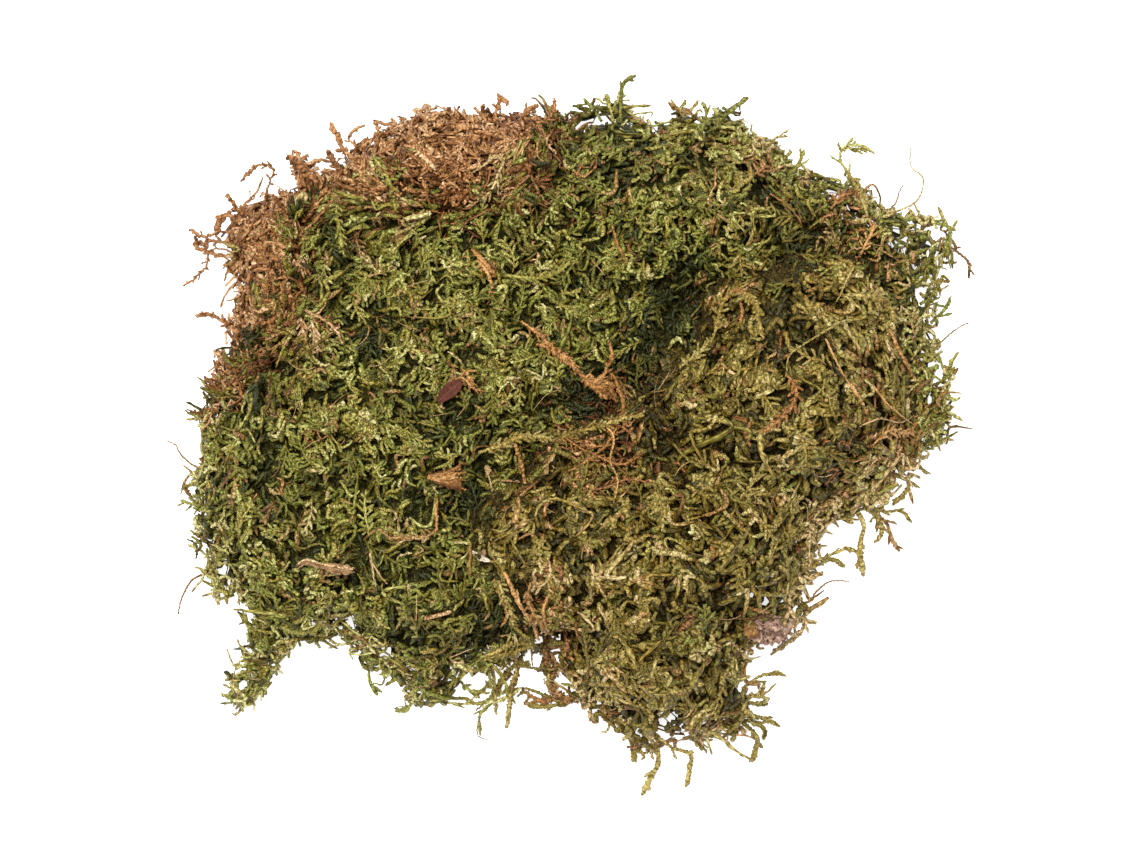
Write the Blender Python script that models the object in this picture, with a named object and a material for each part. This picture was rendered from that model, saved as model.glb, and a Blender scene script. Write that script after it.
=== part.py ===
"""A hand-sized clump of dried woodland moss, lying on its flat-cut underside.

Three turfs are tangled together: a broad green one, a dead brown one that frames it at the upper left,
and an olive one that lies over the green one's lower right margin. Free shoots stick out of their edges,
and seven scraps of forest litter lie on top. +X runs to the right and +Y away, both seen from above, and +Z is up.
The origin is on the underside, at the middle of the clump's plan.
"""

import math
import random

import bmesh
import bpy
import numpy as np
from mathutils import Vector, geometry, noise
from mathutils.bvhtree import BVHTree

MM = 0.001

# ---------------------------------------------------------------- driving dimensions
GREEN_THICKNESS = 24 * MM
BROWN_THICKNESS = 22 * MM
OLIVE_HEIGHT = 35 * MM  # of the olive turf's top above the surface that the clump lies on
RIM_TOP = 7 * MM  # height of a turf's free edge
RIM_LIFT = 2.5 * MM  # how far the underside curls up at a free edge
OLIVE_LIP = 5 * MM  # thickness of the olive turf's edge where it lies on the green turf
GREEN_ROLL = 21 * MM  # width over which the green turf's edge rounds up to its full thickness
BROWN_ROLL = 14 * MM
OLIVE_ROLL = 26 * MM
SEAM_ROLL = 8 * MM
TURF_GAP = 0.5 * MM  # between turfs that touch
SEAM_GROOVE = 3 * MM  # how far two turfs sink where they meet side by side
OVERLAP_DIP = 7 * MM  # how far the green turf is pressed down beside the olive one
LITTER_GAP = 0.4 * MM  # between a scrap of litter and the moss under it

CELL = 4.5 * MM  # mean spacing of the surface points
EDGE_STEP = 3.2 * MM  # spacing of the points along an outline
RAGGED = 1.3 * MM  # how far a free edge wanders in and out
CUSHION = (22 * MM, 3.4 * MM)  # width and height of the swellings all over the turfs
CLUMP = (10 * MM, 3 * MM)  # width and height of the clumps of shoots on them
TUFT = 1.1 * MM  # random height of the tufts at the surface points

# ---------------------------------------------------------------- plan outlines, in millimetres
# The green turf's outline runs clockwise from the top of its seam with the brown turf.
GREEN_TOP_AND_RIGHT = [
    (0, 88), (6, 88), (12, 90), (19, 86), (30, 87), (37, 88), (45, 88), (51, 82), (58, 78), (64, 72),
    (71, 69), (78, 68), (85, 64), (91, 60), (101, 58), (104, 53), (99, 47), (100, 42), (97, 37),
    (101, 32), (100, 25), (103, 18), (102, 11), (103, 6), (99, -1), (95, -4),
]
GREEN_UNDER_OLIVE = [
    (90, -1), (85, 8), (81, 19), (73, 28), (63, 29), (52, 20), (37, 5), (20, -7), (6, -18), (3, -33),
    (-2, -48), (-10, -57),
]
GREEN_BOTTOM_AND_LEFT = [
    (-18, -61), (-23, -64), (-28, -65), (-31, -68), (-35, -72), (-41, -73), (-44, -71), (-46, -65),
    (-51, -63), (-56, -62), (-57, -57), (-63, -54), (-70, -55), (-75, -57), (-78, -61), (-81, -66),
    (-86, -72), (-91, -73), (-92, -69), (-89, -66), (-87, -60), (-88, -54), (-87, -47), (-91, -43),
    (-97, -40), (-98, -34), (-96, -28), (-102, -26), (-101, -18), (-102, -11), (-99, -3), (-101, 3),
    (-98, 7),
]
BROWN_SEAM = [
    (-89, 12), (-83, 19), (-77, 25), (-72, 32), (-72, 40), (-73, 49), (-71, 57), (-65, 62), (-56, 63),
    (-45, 63), (-32, 62), (-21, 63), (-10, 68), (-5, 74), (-2, 80),
]
BROWN_FREE = [
    (-98, 8), (-96, 11), (-94, 16), (-94, 21), (-90, 26), (-91, 31), (-90, 37), (-91, 46), (-91, 52),
    (-92, 57), (-90, 61), (-85, 64), (-80, 65), (-75, 65), (-68, 67), (-72, 70), (-76, 75), (-72, 76),
    (-66, 71), (-62, 74), (-58, 78), (-53, 81), (-48, 83), (-45, 86), (-38, 89), (-31, 88), (-24, 88),
    (-17, 88), (-10, 88), (-6, 86), (-1, 88),
]
OLIVE_OVER_GREEN = [
    (95, -4), (93, 3), (92, 11), (91, 19), (88, 27), (86, 35), (82, 40), (75, 47), (68, 45), (61, 46),
    (54, 44), (47, 41), (39, 39), (37, 32), (36, 26), (30, 21), (25, 18), (20, 12), (14, 7), (8, 3),
    (2, 1), (-4, -2), (-9, -8), (-15, -12), (-21, -17), (-24, -23), (-23, -30), (-20, -35), (-17, -43),
    (-15, -50), (-12, -55),
]
OLIVE_FREE = [
    (-6, -58), (-2, -62), (-4, -69), (2, -71), (9, -75), (16, -81), (23, -84), (30, -83), (36, -83),
    (43, -81), (50, -79), (53, -72), (48, -67), (47, -61), (52, -57), (58, -55), (63, -47), (64, -40),
    (66, -32), (70, -26), (70, -22), (77, -22), (82, -19), (87, -14), (91, -10),
]

# Broad hummocks (+) and hollows (-) of each turf: x, y, radius and height, in millimetres.
GREEN_HUMMOCKS = [
    (-74, -30, 24, 5), (-40, 22, 26, 4), (22, 62, 24, 5), (-36, -50, 18, 4), (62, 58, 18, 3),
    (-5, 38, 16, -4), (-47, -8, 14, -3), (-58, 40, 12, -3), (30, 34, 12, -5), (-22, -8, 14, -4),
]
BROWN_HUMMOCKS = [(-30, 78, 18, 6), (-82, 50, 15, 4), (-60, 70, 9, -3), (-84, 20, 12, 1)]
OLIVE_HUMMOCKS = [
    (62, 12, 22, 5), (18, -42, 22, 4), (40, -70, 16, 2), (36, -20, 12, -5), (52, 30, 14, 3),
    (10, -14, 14, -6), (44, -45, 9, -4), (80, 0, 14, 2),
]

# ---------------------------------------------------------------- free shoots, in millimetres
# name: (turf, radius, points from the root inside the turf to the tip)
SPRIGS = {
    "top_tall": ("green", 0.8, [(14, 85, 13), (14, 91, 16), (15, 95, 17), (18, 97, 16)]),
    "top_left_tuft": ("green", 0.9, [(12, 85, 12), (11, 89, 14), (10, 92, 16)]),
    "top_left_spur": ("green", 0.7, [(9, 85, 11), (7, 88, 12), (4, 91, 13)]),
    "top_right_horn": ("green", 0.9, [(40, 85, 12), (44, 88, 14), (48, 91, 16)]),
    "top_right_nub": ("green", 0.8, [(37, 85, 11), (37, 88, 12), (36, 90, 13)]),
    "top_dry_blade": ("green", 0.9, [(36, 85, 11), (33, 87, 12), (30, 88, 12), (27, 90, 13)]),
    "shoulder_hook": ("green", 0.6, [(53, 76, 10), (55, 80, 11), (57, 81, 12), (59, 81, 12)]),
    "shoulder_spur": ("green", 0.7, [(56, 73, 10), (58, 75, 11), (60, 77, 12)]),
    "shoulder_horn": ("green", 0.8, [(60, 71, 10), (62, 74, 12), (63, 77, 14)]),
    "swan_neck": (
        "green", 0.7,
        [(79, 65, 9), (76, 70, 12), (73, 74, 15), (73, 77, 17), (75, 78, 18), (78, 78, 18), (82, 76, 16)],
    ),
    "hair_loop": (
        "green", 0.45,
        [(84, 61, 9), (88, 61, 10), (93, 63, 11), (95, 66, 12), (95, 70, 13), (92, 73, 13), (92, 78, 13)],
    ),
    "hair_spur": ("green", 0.4, [(85, 60, 8), (88, 63, 10), (89, 66, 11), (90, 68, 12)]),
    "arch": ("green", 0.55, [(78, 64, 9), (80, 67, 11), (82, 68, 12), (84, 65, 10), (84, 62, 8)]),
    "corner_loop": ("green", 0.8, [(88, 58, 8), (94, 59, 9), (99, 58, 9), (103, 56, 9), (101, 49, 7)]),
    "corner_leaf": ("green", 0.6, [(95, 54, 7), (102, 52, 8), (105, 50, 9), (108, 47, 9), (108, 43, 8)]),
    "right_horn_high": ("green", 0.8, [(95, 36, 7), (98, 38, 8), (100, 41, 10)]),
    "right_horn_low": ("green", 0.8, [(98, 31, 7), (101, 34, 8), (103, 37, 10)]),
    "right_wire": ("green", 0.45, [(97, 21, 7), (100, 25, 8), (103, 28, 9), (106, 30, 9), (108, 31, 9)]),
    "right_lobe": ("green", 1.0, [(99, 14, 6), (102, 16, 7), (104, 18, 8)]),
    "right_tip": ("green", 0.7, [(99, 7, 6), (102, 7, 7), (106, 5, 7)]),
    "olive_side_fringe": ("olive", 0.8, [(88, -10, 8), (92, -12, 7), (91, -15, 6), (88, -18, 5)]),
    "olive_side_spur": ("olive", 0.7, [(91, -6, 9), (94, -7, 8), (97, -10, 7)]),
    "olive_bar": ("olive", 0.7, [(81, -18, 8), (85, -20, 7), (90, -20, 6), (93, -23, 5)]),
    "olive_dropper": ("olive", 0.5, [(78, -17, 7), (82, -20, 6), (86, -23, 5), (88, -28, 4), (90, -31, 3)]),
    "olive_wide_sprig": ("olive", 1.0, [(78, -20, 7), (80, -24, 6), (79, -30, 5), (80, -37, 4)]),
    "olive_bridge": (
        "olive", 0.7, [(63, -33, 7), (68, -33, 6), (73, -31, 5), (76, -30, 5), (79, -32, 5)],
    ),
    "olive_wire": (
        "olive", 0.45, [(63, -45, 7), (66, -44, 6), (67, -42, 5), (71, -39, 5), (76, -39, 5)],
    ),
    "olive_hanger": (
        "olive", 0.8,
        [(59, -41, 7), (63, -44, 6), (64, -49, 5), (63, -53, 4), (59, -56, 3), (55, -59, 2.5)],
    ),
    "olive_twig_upper": ("olive", 0.6, [(47, -68, 7), (51, -65, 7), (54, -64, 7), (58, -64, 6)]),
    "olive_twig_lower": ("olive", 0.6, [(48, -71, 6), (52, -69, 5), (53, -67, 5)]),
    "olive_finger_upper": ("olive", 0.7, [(46, -71, 6), (50, -72, 6), (54, -72, 6)]),
    "olive_finger_lower": ("olive", 0.7, [(46, -74, 5), (52, -76, 4), (57, -78, 4)]),
    "olive_crook": ("olive", 0.7, [(44, -76, 5), (49, -77, 5), (53, -79, 4), (53, -82, 3)]),
    "olive_pendant": ("olive", 0.9, [(47, -77, 5), (51, -81, 4), (51, -84, 3), (50, -88, 2)]),
    "olive_point": ("olive", 0.7, [(34, -78, 5), (36, -82, 4), (36, -85, 3)]),
    "olive_branch": (
        "olive", 0.7, [(23, -80, 6), (28, -84, 5), (33, -86, 4), (33, -90, 3), (32, -95, 2)],
    ),
    "olive_tail": (
        "olive", 0.8, [(19, -79, 6), (24, -84, 5), (24, -89, 4), (22, -93, 3), (20, -97.2, 2)],
    ),
    "olive_tuft": ("olive", 1.2, [(14, -77, 6), (17, -82, 5), (18, -88, 3)]),
    "foot_twig": ("olive", 0.7, [(6, -71, 6), (6, -74, 5), (6, -77, 4)]),
    "foot_bar": ("olive", 0.9, [(3, -69, 6), (-2, -72, 5), (-6, -73, 4), (-11, -73, 3)]),
    "foot_string": (
        "green", 0.7, [(-40, -70, 6), (-32, -72, 5), (-24, -72, 5), (-18, -71, 5), (-13, -68, 5)],
    ),
    "foot_fork": (
        "green", 0.6, [(-22, -62, 6), (-21, -67, 6), (-20, -71, 5), (-24, -75, 4), (-24, -81, 2)],
    ),
    "foot_drop": ("green", 0.6, [(-20, -62, 6), (-16, -69, 5), (-16, -74, 4), (-17, -79, 2)]),
    "lobe_drop": ("green", 0.6, [(-54, -61, 6), (-54, -66, 4), (-52, -70, 3)]),
    "lobe_toe": ("green", 0.9, [(-42, -71, 6), (-44, -74, 5), (-47, -74, 3)]),
    "bay_string": ("green", 0.6, [(-55, -59, 6), (-58, -56, 5), (-63, -56, 5), (-67, -52, 6)]),
    "leg_toe": ("green", 0.9, [(-87, -69, 5), (-90, -71, 4), (-93, -70, 4)]),
    "leg_drop": ("green", 0.7, [(-80, -62, 5), (-82, -67, 4), (-83, -70, 2)]),
    "leg_hair": ("green", 0.4, [(-90, -70, 5), (-91, -67, 6), (-90, -62, 7)]),
    "left_wire_low": (
        "green", 0.5, [(-96, -36, 7), (-101, -38, 7), (-103, -40, 6), (-105, -44, 5), (-106, -48, 4)],
    ),
    "left_spur_low": ("green", 0.6, [(-96, -35, 7), (-99, -31, 7), (-103, -29, 7)]),
    "left_nub": ("green", 0.7, [(-98, -19, 7), (-102, -18, 7), (-105, -17, 7)]),
    "left_wire_high": (
        "green", 0.45, [(-98, -9, 9), (-102, -7, 9), (-105, -4, 9), (-106, -2, 9), (-108.2, -1, 9)],
    ),
    "left_curl": ("green", 0.7, [(-98, -11, 8), (-102, -10, 8), (-104, -13, 8), (-102, -16, 7)]),
    "left_fork": ("green", 0.8, [(-96, 2, 8), (-99, 5, 9), (-102, 7, 10)]),
    "brown_hook": ("brown", 0.8, [(-88, 27, 8), (-92, 30, 8), (-96, 33, 8), (-101, 33, 8)]),
    "brown_wire": (
        "brown", 0.5,
        [(-89, 49, 8), (-94, 51, 9), (-97, 50, 9), (-98, 46, 8), (-101, 43, 8), (-104, 41, 7)],
    ),
    "brown_claw": ("brown", 0.55, [(-90, 52, 9), (-96, 53, 10), (-99, 52, 10), (-101, 54, 10)]),
    "brown_thumb": ("brown", 1.2, [(-89, 58, 10), (-92, 60, 11), (-94, 59, 10), (-95, 55, 9)]),
    "brown_spike": ("brown", 0.8, [(-87, 59, 10), (-90, 63, 12), (-92, 65, 13)]),
    "brown_loop": (
        "brown", 0.6,
        [(-82, 63, 9), (-81, 67, 12), (-79, 72, 15), (-83, 73, 15), (-85, 72, 14), (-88, 69, 12)],
    ),
    "brown_fork": ("brown", 1.1, [(-57, 74, 10), (-61, 78, 12), (-62, 81, 13), (-64, 84, 14)]),
    "brown_sickle": ("brown", 0.6, [(-55, 77, 10), (-59, 80, 12), (-58, 82, 14), (-55, 84, 14)]),
    "brown_spine": ("brown", 0.7, [(-50, 79, 10), (-51, 82, 12), (-52, 85, 13)]),
    "brown_prong": ("brown", 1.1, [(-61, 70, 9), (-63, 74, 11), (-65, 77, 12)]),
    "brown_top_hook": ("brown", 0.9, [(-20, 85, 12), (-19, 89, 15), (-18, 91, 17), (-16, 89, 17)]),
    "brown_top_fringe": ("brown", 0.9, [(-13, 85, 11), (-11, 88, 13), (-8, 89, 14)]),
    "brown_top_spur": ("brown", 0.7, [(-9, 81, 8), (-6, 85, 11), (-4, 88, 13), (-4, 91, 14)]),
}
SPRIG_TIP = 0.4  # a free shoot's radius at its tip, as a share of that at its root

# ---------------------------------------------------------------- materials
MATERIALS = {
    "green": ((0.14, 0.18, 0.04), 0.6),
    "brown": ((0.30, 0.17, 0.08), 0.8),
    "olive": ((0.26, 0.22, 0.06), 0.6),
    "bark": ((0.42, 0.31, 0.27), 0.75),
    "red_leaf": ((0.22, 0.08, 0.06), 0.5),
    "rust": ((0.42, 0.22, 0.10), 0.75),
    "straw": ((0.52, 0.42, 0.26), 0.7),
    "pale": ((0.80, 0.74, 0.64), 0.6),
}


def material(name):
    """The named material, made on first use."""
    found = bpy.data.materials.get(name)
    if found:
        return found
    colour, roughness = MATERIALS[name]
    made = bpy.data.materials.new(name)
    made.use_nodes = True
    shader = made.node_tree.nodes["Principled BSDF"]
    shader.inputs["Base Color"].default_value = (*colour, 1)
    shader.inputs["Roughness"].default_value = roughness
    shader.inputs["Metallic"].default_value = 0
    return made


def clear_scene():
    for obj in list(bpy.data.objects):
        bpy.data.objects.remove(obj)


def new_object(name, mesh, material_name):
    """An object in the scene for this mesh, in this material."""
    obj = bpy.data.objects.new(name, mesh)
    mesh.materials.append(material(material_name))
    bpy.context.scene.collection.objects.link(obj)
    return obj


# ---------------------------------------------------------------- plan


def spline(points, step):
    """Points at about this spacing on a smooth curve through `points`, which ends at the last one."""
    padded = [points[0], *points, points[-1]]
    found = []
    for a, b, c, d in zip(padded, padded[1:], padded[2:], padded[3:]):
        count = max(1, round((c - b).length / step))
        for i in range(count):
            t = i / count
            found.append(
                0.5 * ((2 * b) + (c - a) * t + (2 * a - 5 * b + 4 * c - d) * t**2
                       + (3 * b - a - 3 * c + d) * t**3)
            )
    return [*found, points[-1]]


def metres(points_mm):
    return [Vector(p) * MM for p in points_mm]


def ragged(points):
    """The same curve with small tufts in and out, but for its two ends."""
    wandered = []
    for before, here, after in zip(points, points[1:], points[2:]):
        along = (after - before).normalized()
        across = Vector((-along.y, along.x))
        push = noise.noise(Vector((here.x, here.y, 0)) / (2.2 * MM))
        wandered.append(here + across * push * 2 * RAGGED)
    return [points[0], *wandered, points[-1]]


def shifted(points, distance):
    """An open curve moved to its left by `distance`."""
    moved = []
    for i, here in enumerate(points):
        along = (points[min(i + 1, len(points) - 1)] - points[max(i - 1, 0)]).normalized()
        moved.append(here + Vector((-along.y, along.x)) * distance)
    return moved


def as_array(points):
    return np.array([tuple(p) for p in points])


def inside(points, loop):
    """Which of the points lie inside a closed loop."""
    x, y = points[:, 0, None], points[:, 1, None]
    ax, ay = loop.T
    bx, by = np.roll(loop, -1, axis=0).T
    spans = (ay > y) != (by > y)
    crossing = ax + (y - ay) * (bx - ax) / np.where(by == ay, 1, by - ay)
    return (spans & (x < crossing)).sum(axis=1) % 2 == 1


def distance_to(points, line):
    """Each point's distance to an open line."""
    a, b = line[:-1], line[1:]
    run = b - a
    share = ((points[:, None] - a) * run).sum(-1) / np.maximum((run**2).sum(-1), 1e-12)
    nearest = a + np.clip(share, 0, 1)[..., None] * run
    return np.linalg.norm(points[:, None] - nearest, axis=-1).min(axis=1)


def outlines():
    """The curves that bound the three turfs, named."""
    seam = spline(metres([GREEN_BOTTOM_AND_LEFT[-1], *BROWN_SEAM, GREEN_TOP_AND_RIGHT[0]]), EDGE_STEP)
    under = metres([GREEN_TOP_AND_RIGHT[-1], *GREEN_UNDER_OLIVE, GREEN_BOTTOM_AND_LEFT[0]])
    left = metres(OLIVE_OVER_GREEN)
    right = metres([OLIVE_OVER_GREEN[-1], *OLIVE_FREE, OLIVE_OVER_GREEN[0]])
    return {
        "seam": seam,
        "green_top": ragged(spline(metres(GREEN_TOP_AND_RIGHT), EDGE_STEP)),
        "green_under": spline(under, EDGE_STEP),
        "green_left": ragged(spline(metres(GREEN_BOTTOM_AND_LEFT), EDGE_STEP)),
        "brown_free": ragged(spline(metres(BROWN_FREE), EDGE_STEP)),
        "brown_seam": shifted(seam, TURF_GAP)[1:-1],
        "olive_over": ragged(spline(left, EDGE_STEP)),
        "olive_free": ragged(spline(right, EDGE_STEP)),
    }


def surface_points(loops, low, high):
    """Points on a staggered grid, nudged at random, that stay clear of every loop."""
    rng = random.Random(7)
    row_step = CELL * math.sqrt(3) / 2
    found = []
    for row in range(math.ceil((high[1] - low[1]) / row_step)):
        for column in range(math.ceil((high[0] - low[0]) / CELL)):
            x = low[0] + (column + 0.5 * (row % 2)) * CELL + rng.uniform(-0.2, 0.2) * CELL
            y = low[1] + row * row_step + rng.uniform(-0.2, 0.2) * CELL
            found.append((x, y))
    found = np.array(found)
    clear = np.full(len(found), True)
    for loop in loops:
        clear &= distance_to(found, np.vstack([loop, loop[:1]])) > 0.55 * CELL
    return found[clear]


def shared_plan(loops):
    """One flat triangulation that follows every turf's outline, so that the turfs fit each other."""
    every = np.vstack(loops)
    scattered = surface_points(loops, every.min(0), every.max(0))
    edges, first = [], 0
    for loop in loops:
        count = len(loop)
        edges += [(first + i, first + (i + 1) % count) for i in range(count)]
        first += count
    points = [Vector(p) for p in np.vstack([every, scattered])]
    verts, _, faces, *_ = geometry.delaunay_2d_cdt(points, edges, [], 0, 1e-7)
    return as_array(verts), np.array(faces)


# ---------------------------------------------------------------- heights


def rounded(distance, width):
    """How far a cushion has risen, from 0 at its edge to 1 at `width` inside it."""
    short = 1 - np.clip(distance / width, 0, 1)
    return 0.4 * np.sqrt(1 - short**2) + 0.6 * (1 - short**2)


def hummocks(points, table):
    """The height that broad hummocks and hollows add."""
    total = np.zeros(len(points))
    for x, y, radius, height in table:
        reach = np.linalg.norm(points - np.array((x, y)) * MM, axis=1) / (radius * MM)
        total += height * MM * np.exp(-(reach**2))
    return total


def relief(points, seed):
    """The small relief: swellings, clumps of shoots on them, and a random height for each point."""
    rng = random.Random(seed)
    total = np.array([rng.uniform(-TUFT, TUFT) for _ in points])
    for width, height in (CUSHION, CLUMP):
        total += height * np.array([noise.noise(Vector((x, y, seed)) / width) for x, y in points])
    return total


def turf_heights(points, lines):
    """Top of the green and brown turfs, and underside and top of the olive one where it is on green."""
    seam = 1 - rounded(distance_to(points, lines["seam"]), SEAM_ROLL)
    green_edge = np.minimum(
        distance_to(points, lines["green_top"]),
        np.minimum(distance_to(points, lines["green_left"]), distance_to(points, lines["green_under"])),
    )
    pressed = np.exp(-((distance_to(points, lines["olive_over"]) / (11 * MM)) ** 2))
    rise = GREEN_THICKNESS - RIM_TOP + hummocks(points, GREEN_HUMMOCKS) + relief(points, 1)
    green = RIM_TOP + (rise - OVERLAP_DIP * pressed) * rounded(green_edge, GREEN_ROLL) - SEAM_GROOVE * seam

    brown_edge = distance_to(points, lines["brown_free"])
    rise = BROWN_THICKNESS - RIM_TOP + hummocks(points, BROWN_HUMMOCKS) + relief(points, 2)
    brown = RIM_TOP + rise * rounded(brown_edge, BROWN_ROLL) - SEAM_GROOVE * seam

    olive_edge = np.minimum(
        distance_to(points, lines["olive_over"]), distance_to(points, lines["olive_free"])
    )
    olive_full = OLIVE_HEIGHT + hummocks(points, OLIVE_HUMMOCKS) + relief(points, 3)
    lowest = RIM_LIFT + 3 * MM
    return {
        "green": np.maximum(green, lowest),
        "brown": np.maximum(brown, lowest),
        "olive_full": olive_full,
        "olive_rise": rounded(olive_edge, OLIVE_ROLL),
    }


# ---------------------------------------------------------------- turfs


def closed_between(name, plan, faces, bottom, top):
    """A closed mesh over these plan faces, between two heights at each plan point."""
    build = bmesh.new()
    used = sorted(set(faces.ravel().tolist()))
    low = {i: build.verts.new((*plan[i], bottom[i])) for i in used}
    high = {i: build.verts.new((*plan[i], top[i])) for i in used}
    borders = {}
    for a, b, c in faces.tolist():
        build.faces.new((high[a], high[b], high[c]))
        build.faces.new((low[c], low[b], low[a]))
        for edge in ((a, b), (b, c), (c, a)):
            borders[frozenset(edge)] = None if frozenset(edge) in borders else edge
    for a, b in filter(None, borders.values()):
        build.faces.new((high[b], high[a], low[a], low[b]))
    flat = {v for i, v in low.items() if bottom[i] == 0}
    flat_edges = [e for e in build.edges if set(e.verts) <= flat]
    bmesh.ops.dissolve_limit(build, angle_limit=0.001, verts=list(flat), edges=flat_edges)
    bmesh.ops.triangulate(build, faces=build.faces)
    bmesh.ops.recalc_face_normals(build, faces=build.faces)
    mesh = bpy.data.meshes.new(name)
    build.to_mesh(mesh)
    build.free()
    return mesh


def rim_points(plan, line):
    """Which plan points lie on a line."""
    return distance_to(plan, line) < 1e-6


def build_turfs():
    """The three turfs, as closed solids that fit over and beside each other."""
    curves = outlines()
    lines = {name: as_array(curve) for name, curve in curves.items()}
    loops = {
        "green": [*curves["green_top"][:-1], *curves["green_under"][:-1], *curves["green_left"][:-1],
                  *curves["seam"][:-1]],
        "brown": [*curves["brown_seam"], *reversed(curves["brown_free"])],
        "olive": [*curves["olive_over"][:-1], *curves["olive_free"][:-1]],
    }
    loops = {name: as_array(loop) for name, loop in loops.items()}
    plan, faces = shared_plan(list(loops.values()))
    middles = plan[faces].mean(axis=1)
    covered = {name: inside(middles, loop) for name, loop in loops.items()}

    heights = turf_heights(plan, lines)
    curled = {
        "green": rim_points(plan, lines["green_top"]) | rim_points(plan, lines["green_left"]),
        "brown": rim_points(plan, lines["brown_free"]),
        "olive": rim_points(plan, lines["olive_free"]),
    }
    on_green = np.zeros(len(plan), bool)
    on_green[faces[covered["green"] & covered["olive"]].ravel()] = True

    bottoms = {name: np.where(curl, RIM_LIFT, 0.0) for name, curl in curled.items()}
    bottoms["olive"] = np.where(on_green, heights["green"] + TURF_GAP, bottoms["olive"])
    lip = bottoms["olive"] + OLIVE_LIP
    tops = {
        "green": heights["green"],
        "brown": heights["brown"],
        "olive": lip + (np.maximum(heights["olive_full"], lip) - lip) * heights["olive_rise"],
    }
    turfs = {}
    for name, top in tops.items():
        mesh = closed_between(f"{name}_turf", plan, faces[covered[name]], bottoms[name], top)
        turfs[name] = new_object(f"{name}_turf", mesh, name)
    return turfs


# ---------------------------------------------------------------- free shoots


def sprig_tubes(turf):
    """Every free shoot of one turf, as tapered square tubes in one mesh, for joining to that turf."""
    data = bpy.data.curves.new(f"{turf}_sprigs", "CURVE")
    data.dimensions = "3D"
    data.bevel_depth = 1
    data.bevel_resolution = 0
    data.use_fill_caps = True
    for owner, radius, points in SPRIGS.values():
        if owner != turf:
            continue
        line = data.splines.new("POLY")
        line.points.add(len(points) - 1)
        for i, (point, place) in enumerate(zip(line.points, metres(points))):
            point.co = (*place, 1)
            point.radius = radius * MM * (1 - (1 - SPRIG_TIP) * i / (len(points) - 1))
    curve = bpy.data.objects.new(f"{turf}_sprig_curves", data)
    bpy.context.scene.collection.objects.link(curve)
    bpy.context.view_layer.update()
    mesh = bpy.data.meshes.new_from_object(curve.evaluated_get(bpy.context.evaluated_depsgraph_get()))
    bpy.data.objects.remove(curve)
    return mesh


def grow(body, branch):
    """Makes the branch part of the body."""
    branch.hide_render = True
    branch.display_type = "WIRE"
    join = body.modifiers.new("Branches", "BOOLEAN")
    join.operation = "UNION"
    join.solver = "EXACT"
    join.use_self = True
    join.object = branch


def add_sprigs(turf_name, turf):
    """Grows the turf's free shoots out of it."""
    sprigs = bpy.data.objects.new(f"{turf_name}_sprigs", sprig_tubes(turf_name))
    bpy.context.scene.collection.objects.link(sprigs)
    grow(turf, sprigs)


# ---------------------------------------------------------------- forest litter


class MossSurface:
    """The turfs' upper surface, for laying things on."""

    def __init__(self, turfs):
        bpy.context.view_layer.update()
        graph = bpy.context.evaluated_depsgraph_get()
        self.trees = [BVHTree.FromObject(turf, graph) for turf in turfs.values()]

    def height(self, x, y):
        above = Vector((x, y, 1))
        hits = [tree.ray_cast(above, Vector((0, 0, -1)))[0] for tree in self.trees]
        return max([hit.z for hit in hits if hit], default=0)

    def rest(self, x, y, reach):
        """The height that clears all the moss within reach of a point."""
        ring = [(math.cos(a) * reach, math.sin(a) * reach) for a in np.linspace(0, math.tau, 8, False)]
        return LITTER_GAP + max(self.height(x + dx, y + dy) for dx, dy in [(0, 0), *ring])


def ribbon(name, surface, centreline, widths, thickness, material_name, crown=0.0, slope=0.6):
    """A strip laid on the moss along a centreline: `widths` at each point, `crown` higher in the middle,
    and nowhere steeper than `slope`."""
    points = metres(centreline)
    sections = []
    for i, (here, width) in enumerate(zip(points, widths)):
        along = (points[min(i + 1, len(points) - 1)] - points[max(i - 1, 0)]).normalized()
        across = Vector((-along.y, along.x)) * width * MM / 2
        sections.append([here - across, here, here + across])
    step = (points[1] - points[0]).length / 2
    supports = [(p, surface.rest(*p, step)) for section in sections for p in section]
    build = bmesh.new()
    low, high = [], []
    for section in sections:
        rests = [max(z - slope * (p - q).length for q, z in supports) for p in section]
        tops = [z + thickness * MM + bulge * MM for z, bulge in zip(rests, (0, crown, 0))]
        low.append([build.verts.new((*p, z)) for p, z in zip(section, rests)])
        high.append([build.verts.new((*p, z)) for p, z in zip(section, tops)])
    for i in range(len(sections) - 1):
        for side in (0, 1):
            build.faces.new((high[i][side], high[i][side + 1], high[i + 1][side + 1], high[i + 1][side]))
            build.faces.new((low[i][side], low[i + 1][side], low[i + 1][side + 1], low[i][side + 1]))
        for side in (0, 2):
            build.faces.new((low[i][side], high[i][side], high[i + 1][side], low[i + 1][side]))
    for i in (0, len(sections) - 1):
        for side in (0, 1):
            build.faces.new((low[i][side], low[i][side + 1], high[i][side + 1], high[i][side]))
    bmesh.ops.triangulate(build, faces=build.faces)
    bmesh.ops.recalc_face_normals(build, faces=build.faces)
    mesh = bpy.data.meshes.new(name)
    build.to_mesh(mesh)
    build.free()
    return new_object(name, mesh, material_name)


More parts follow.
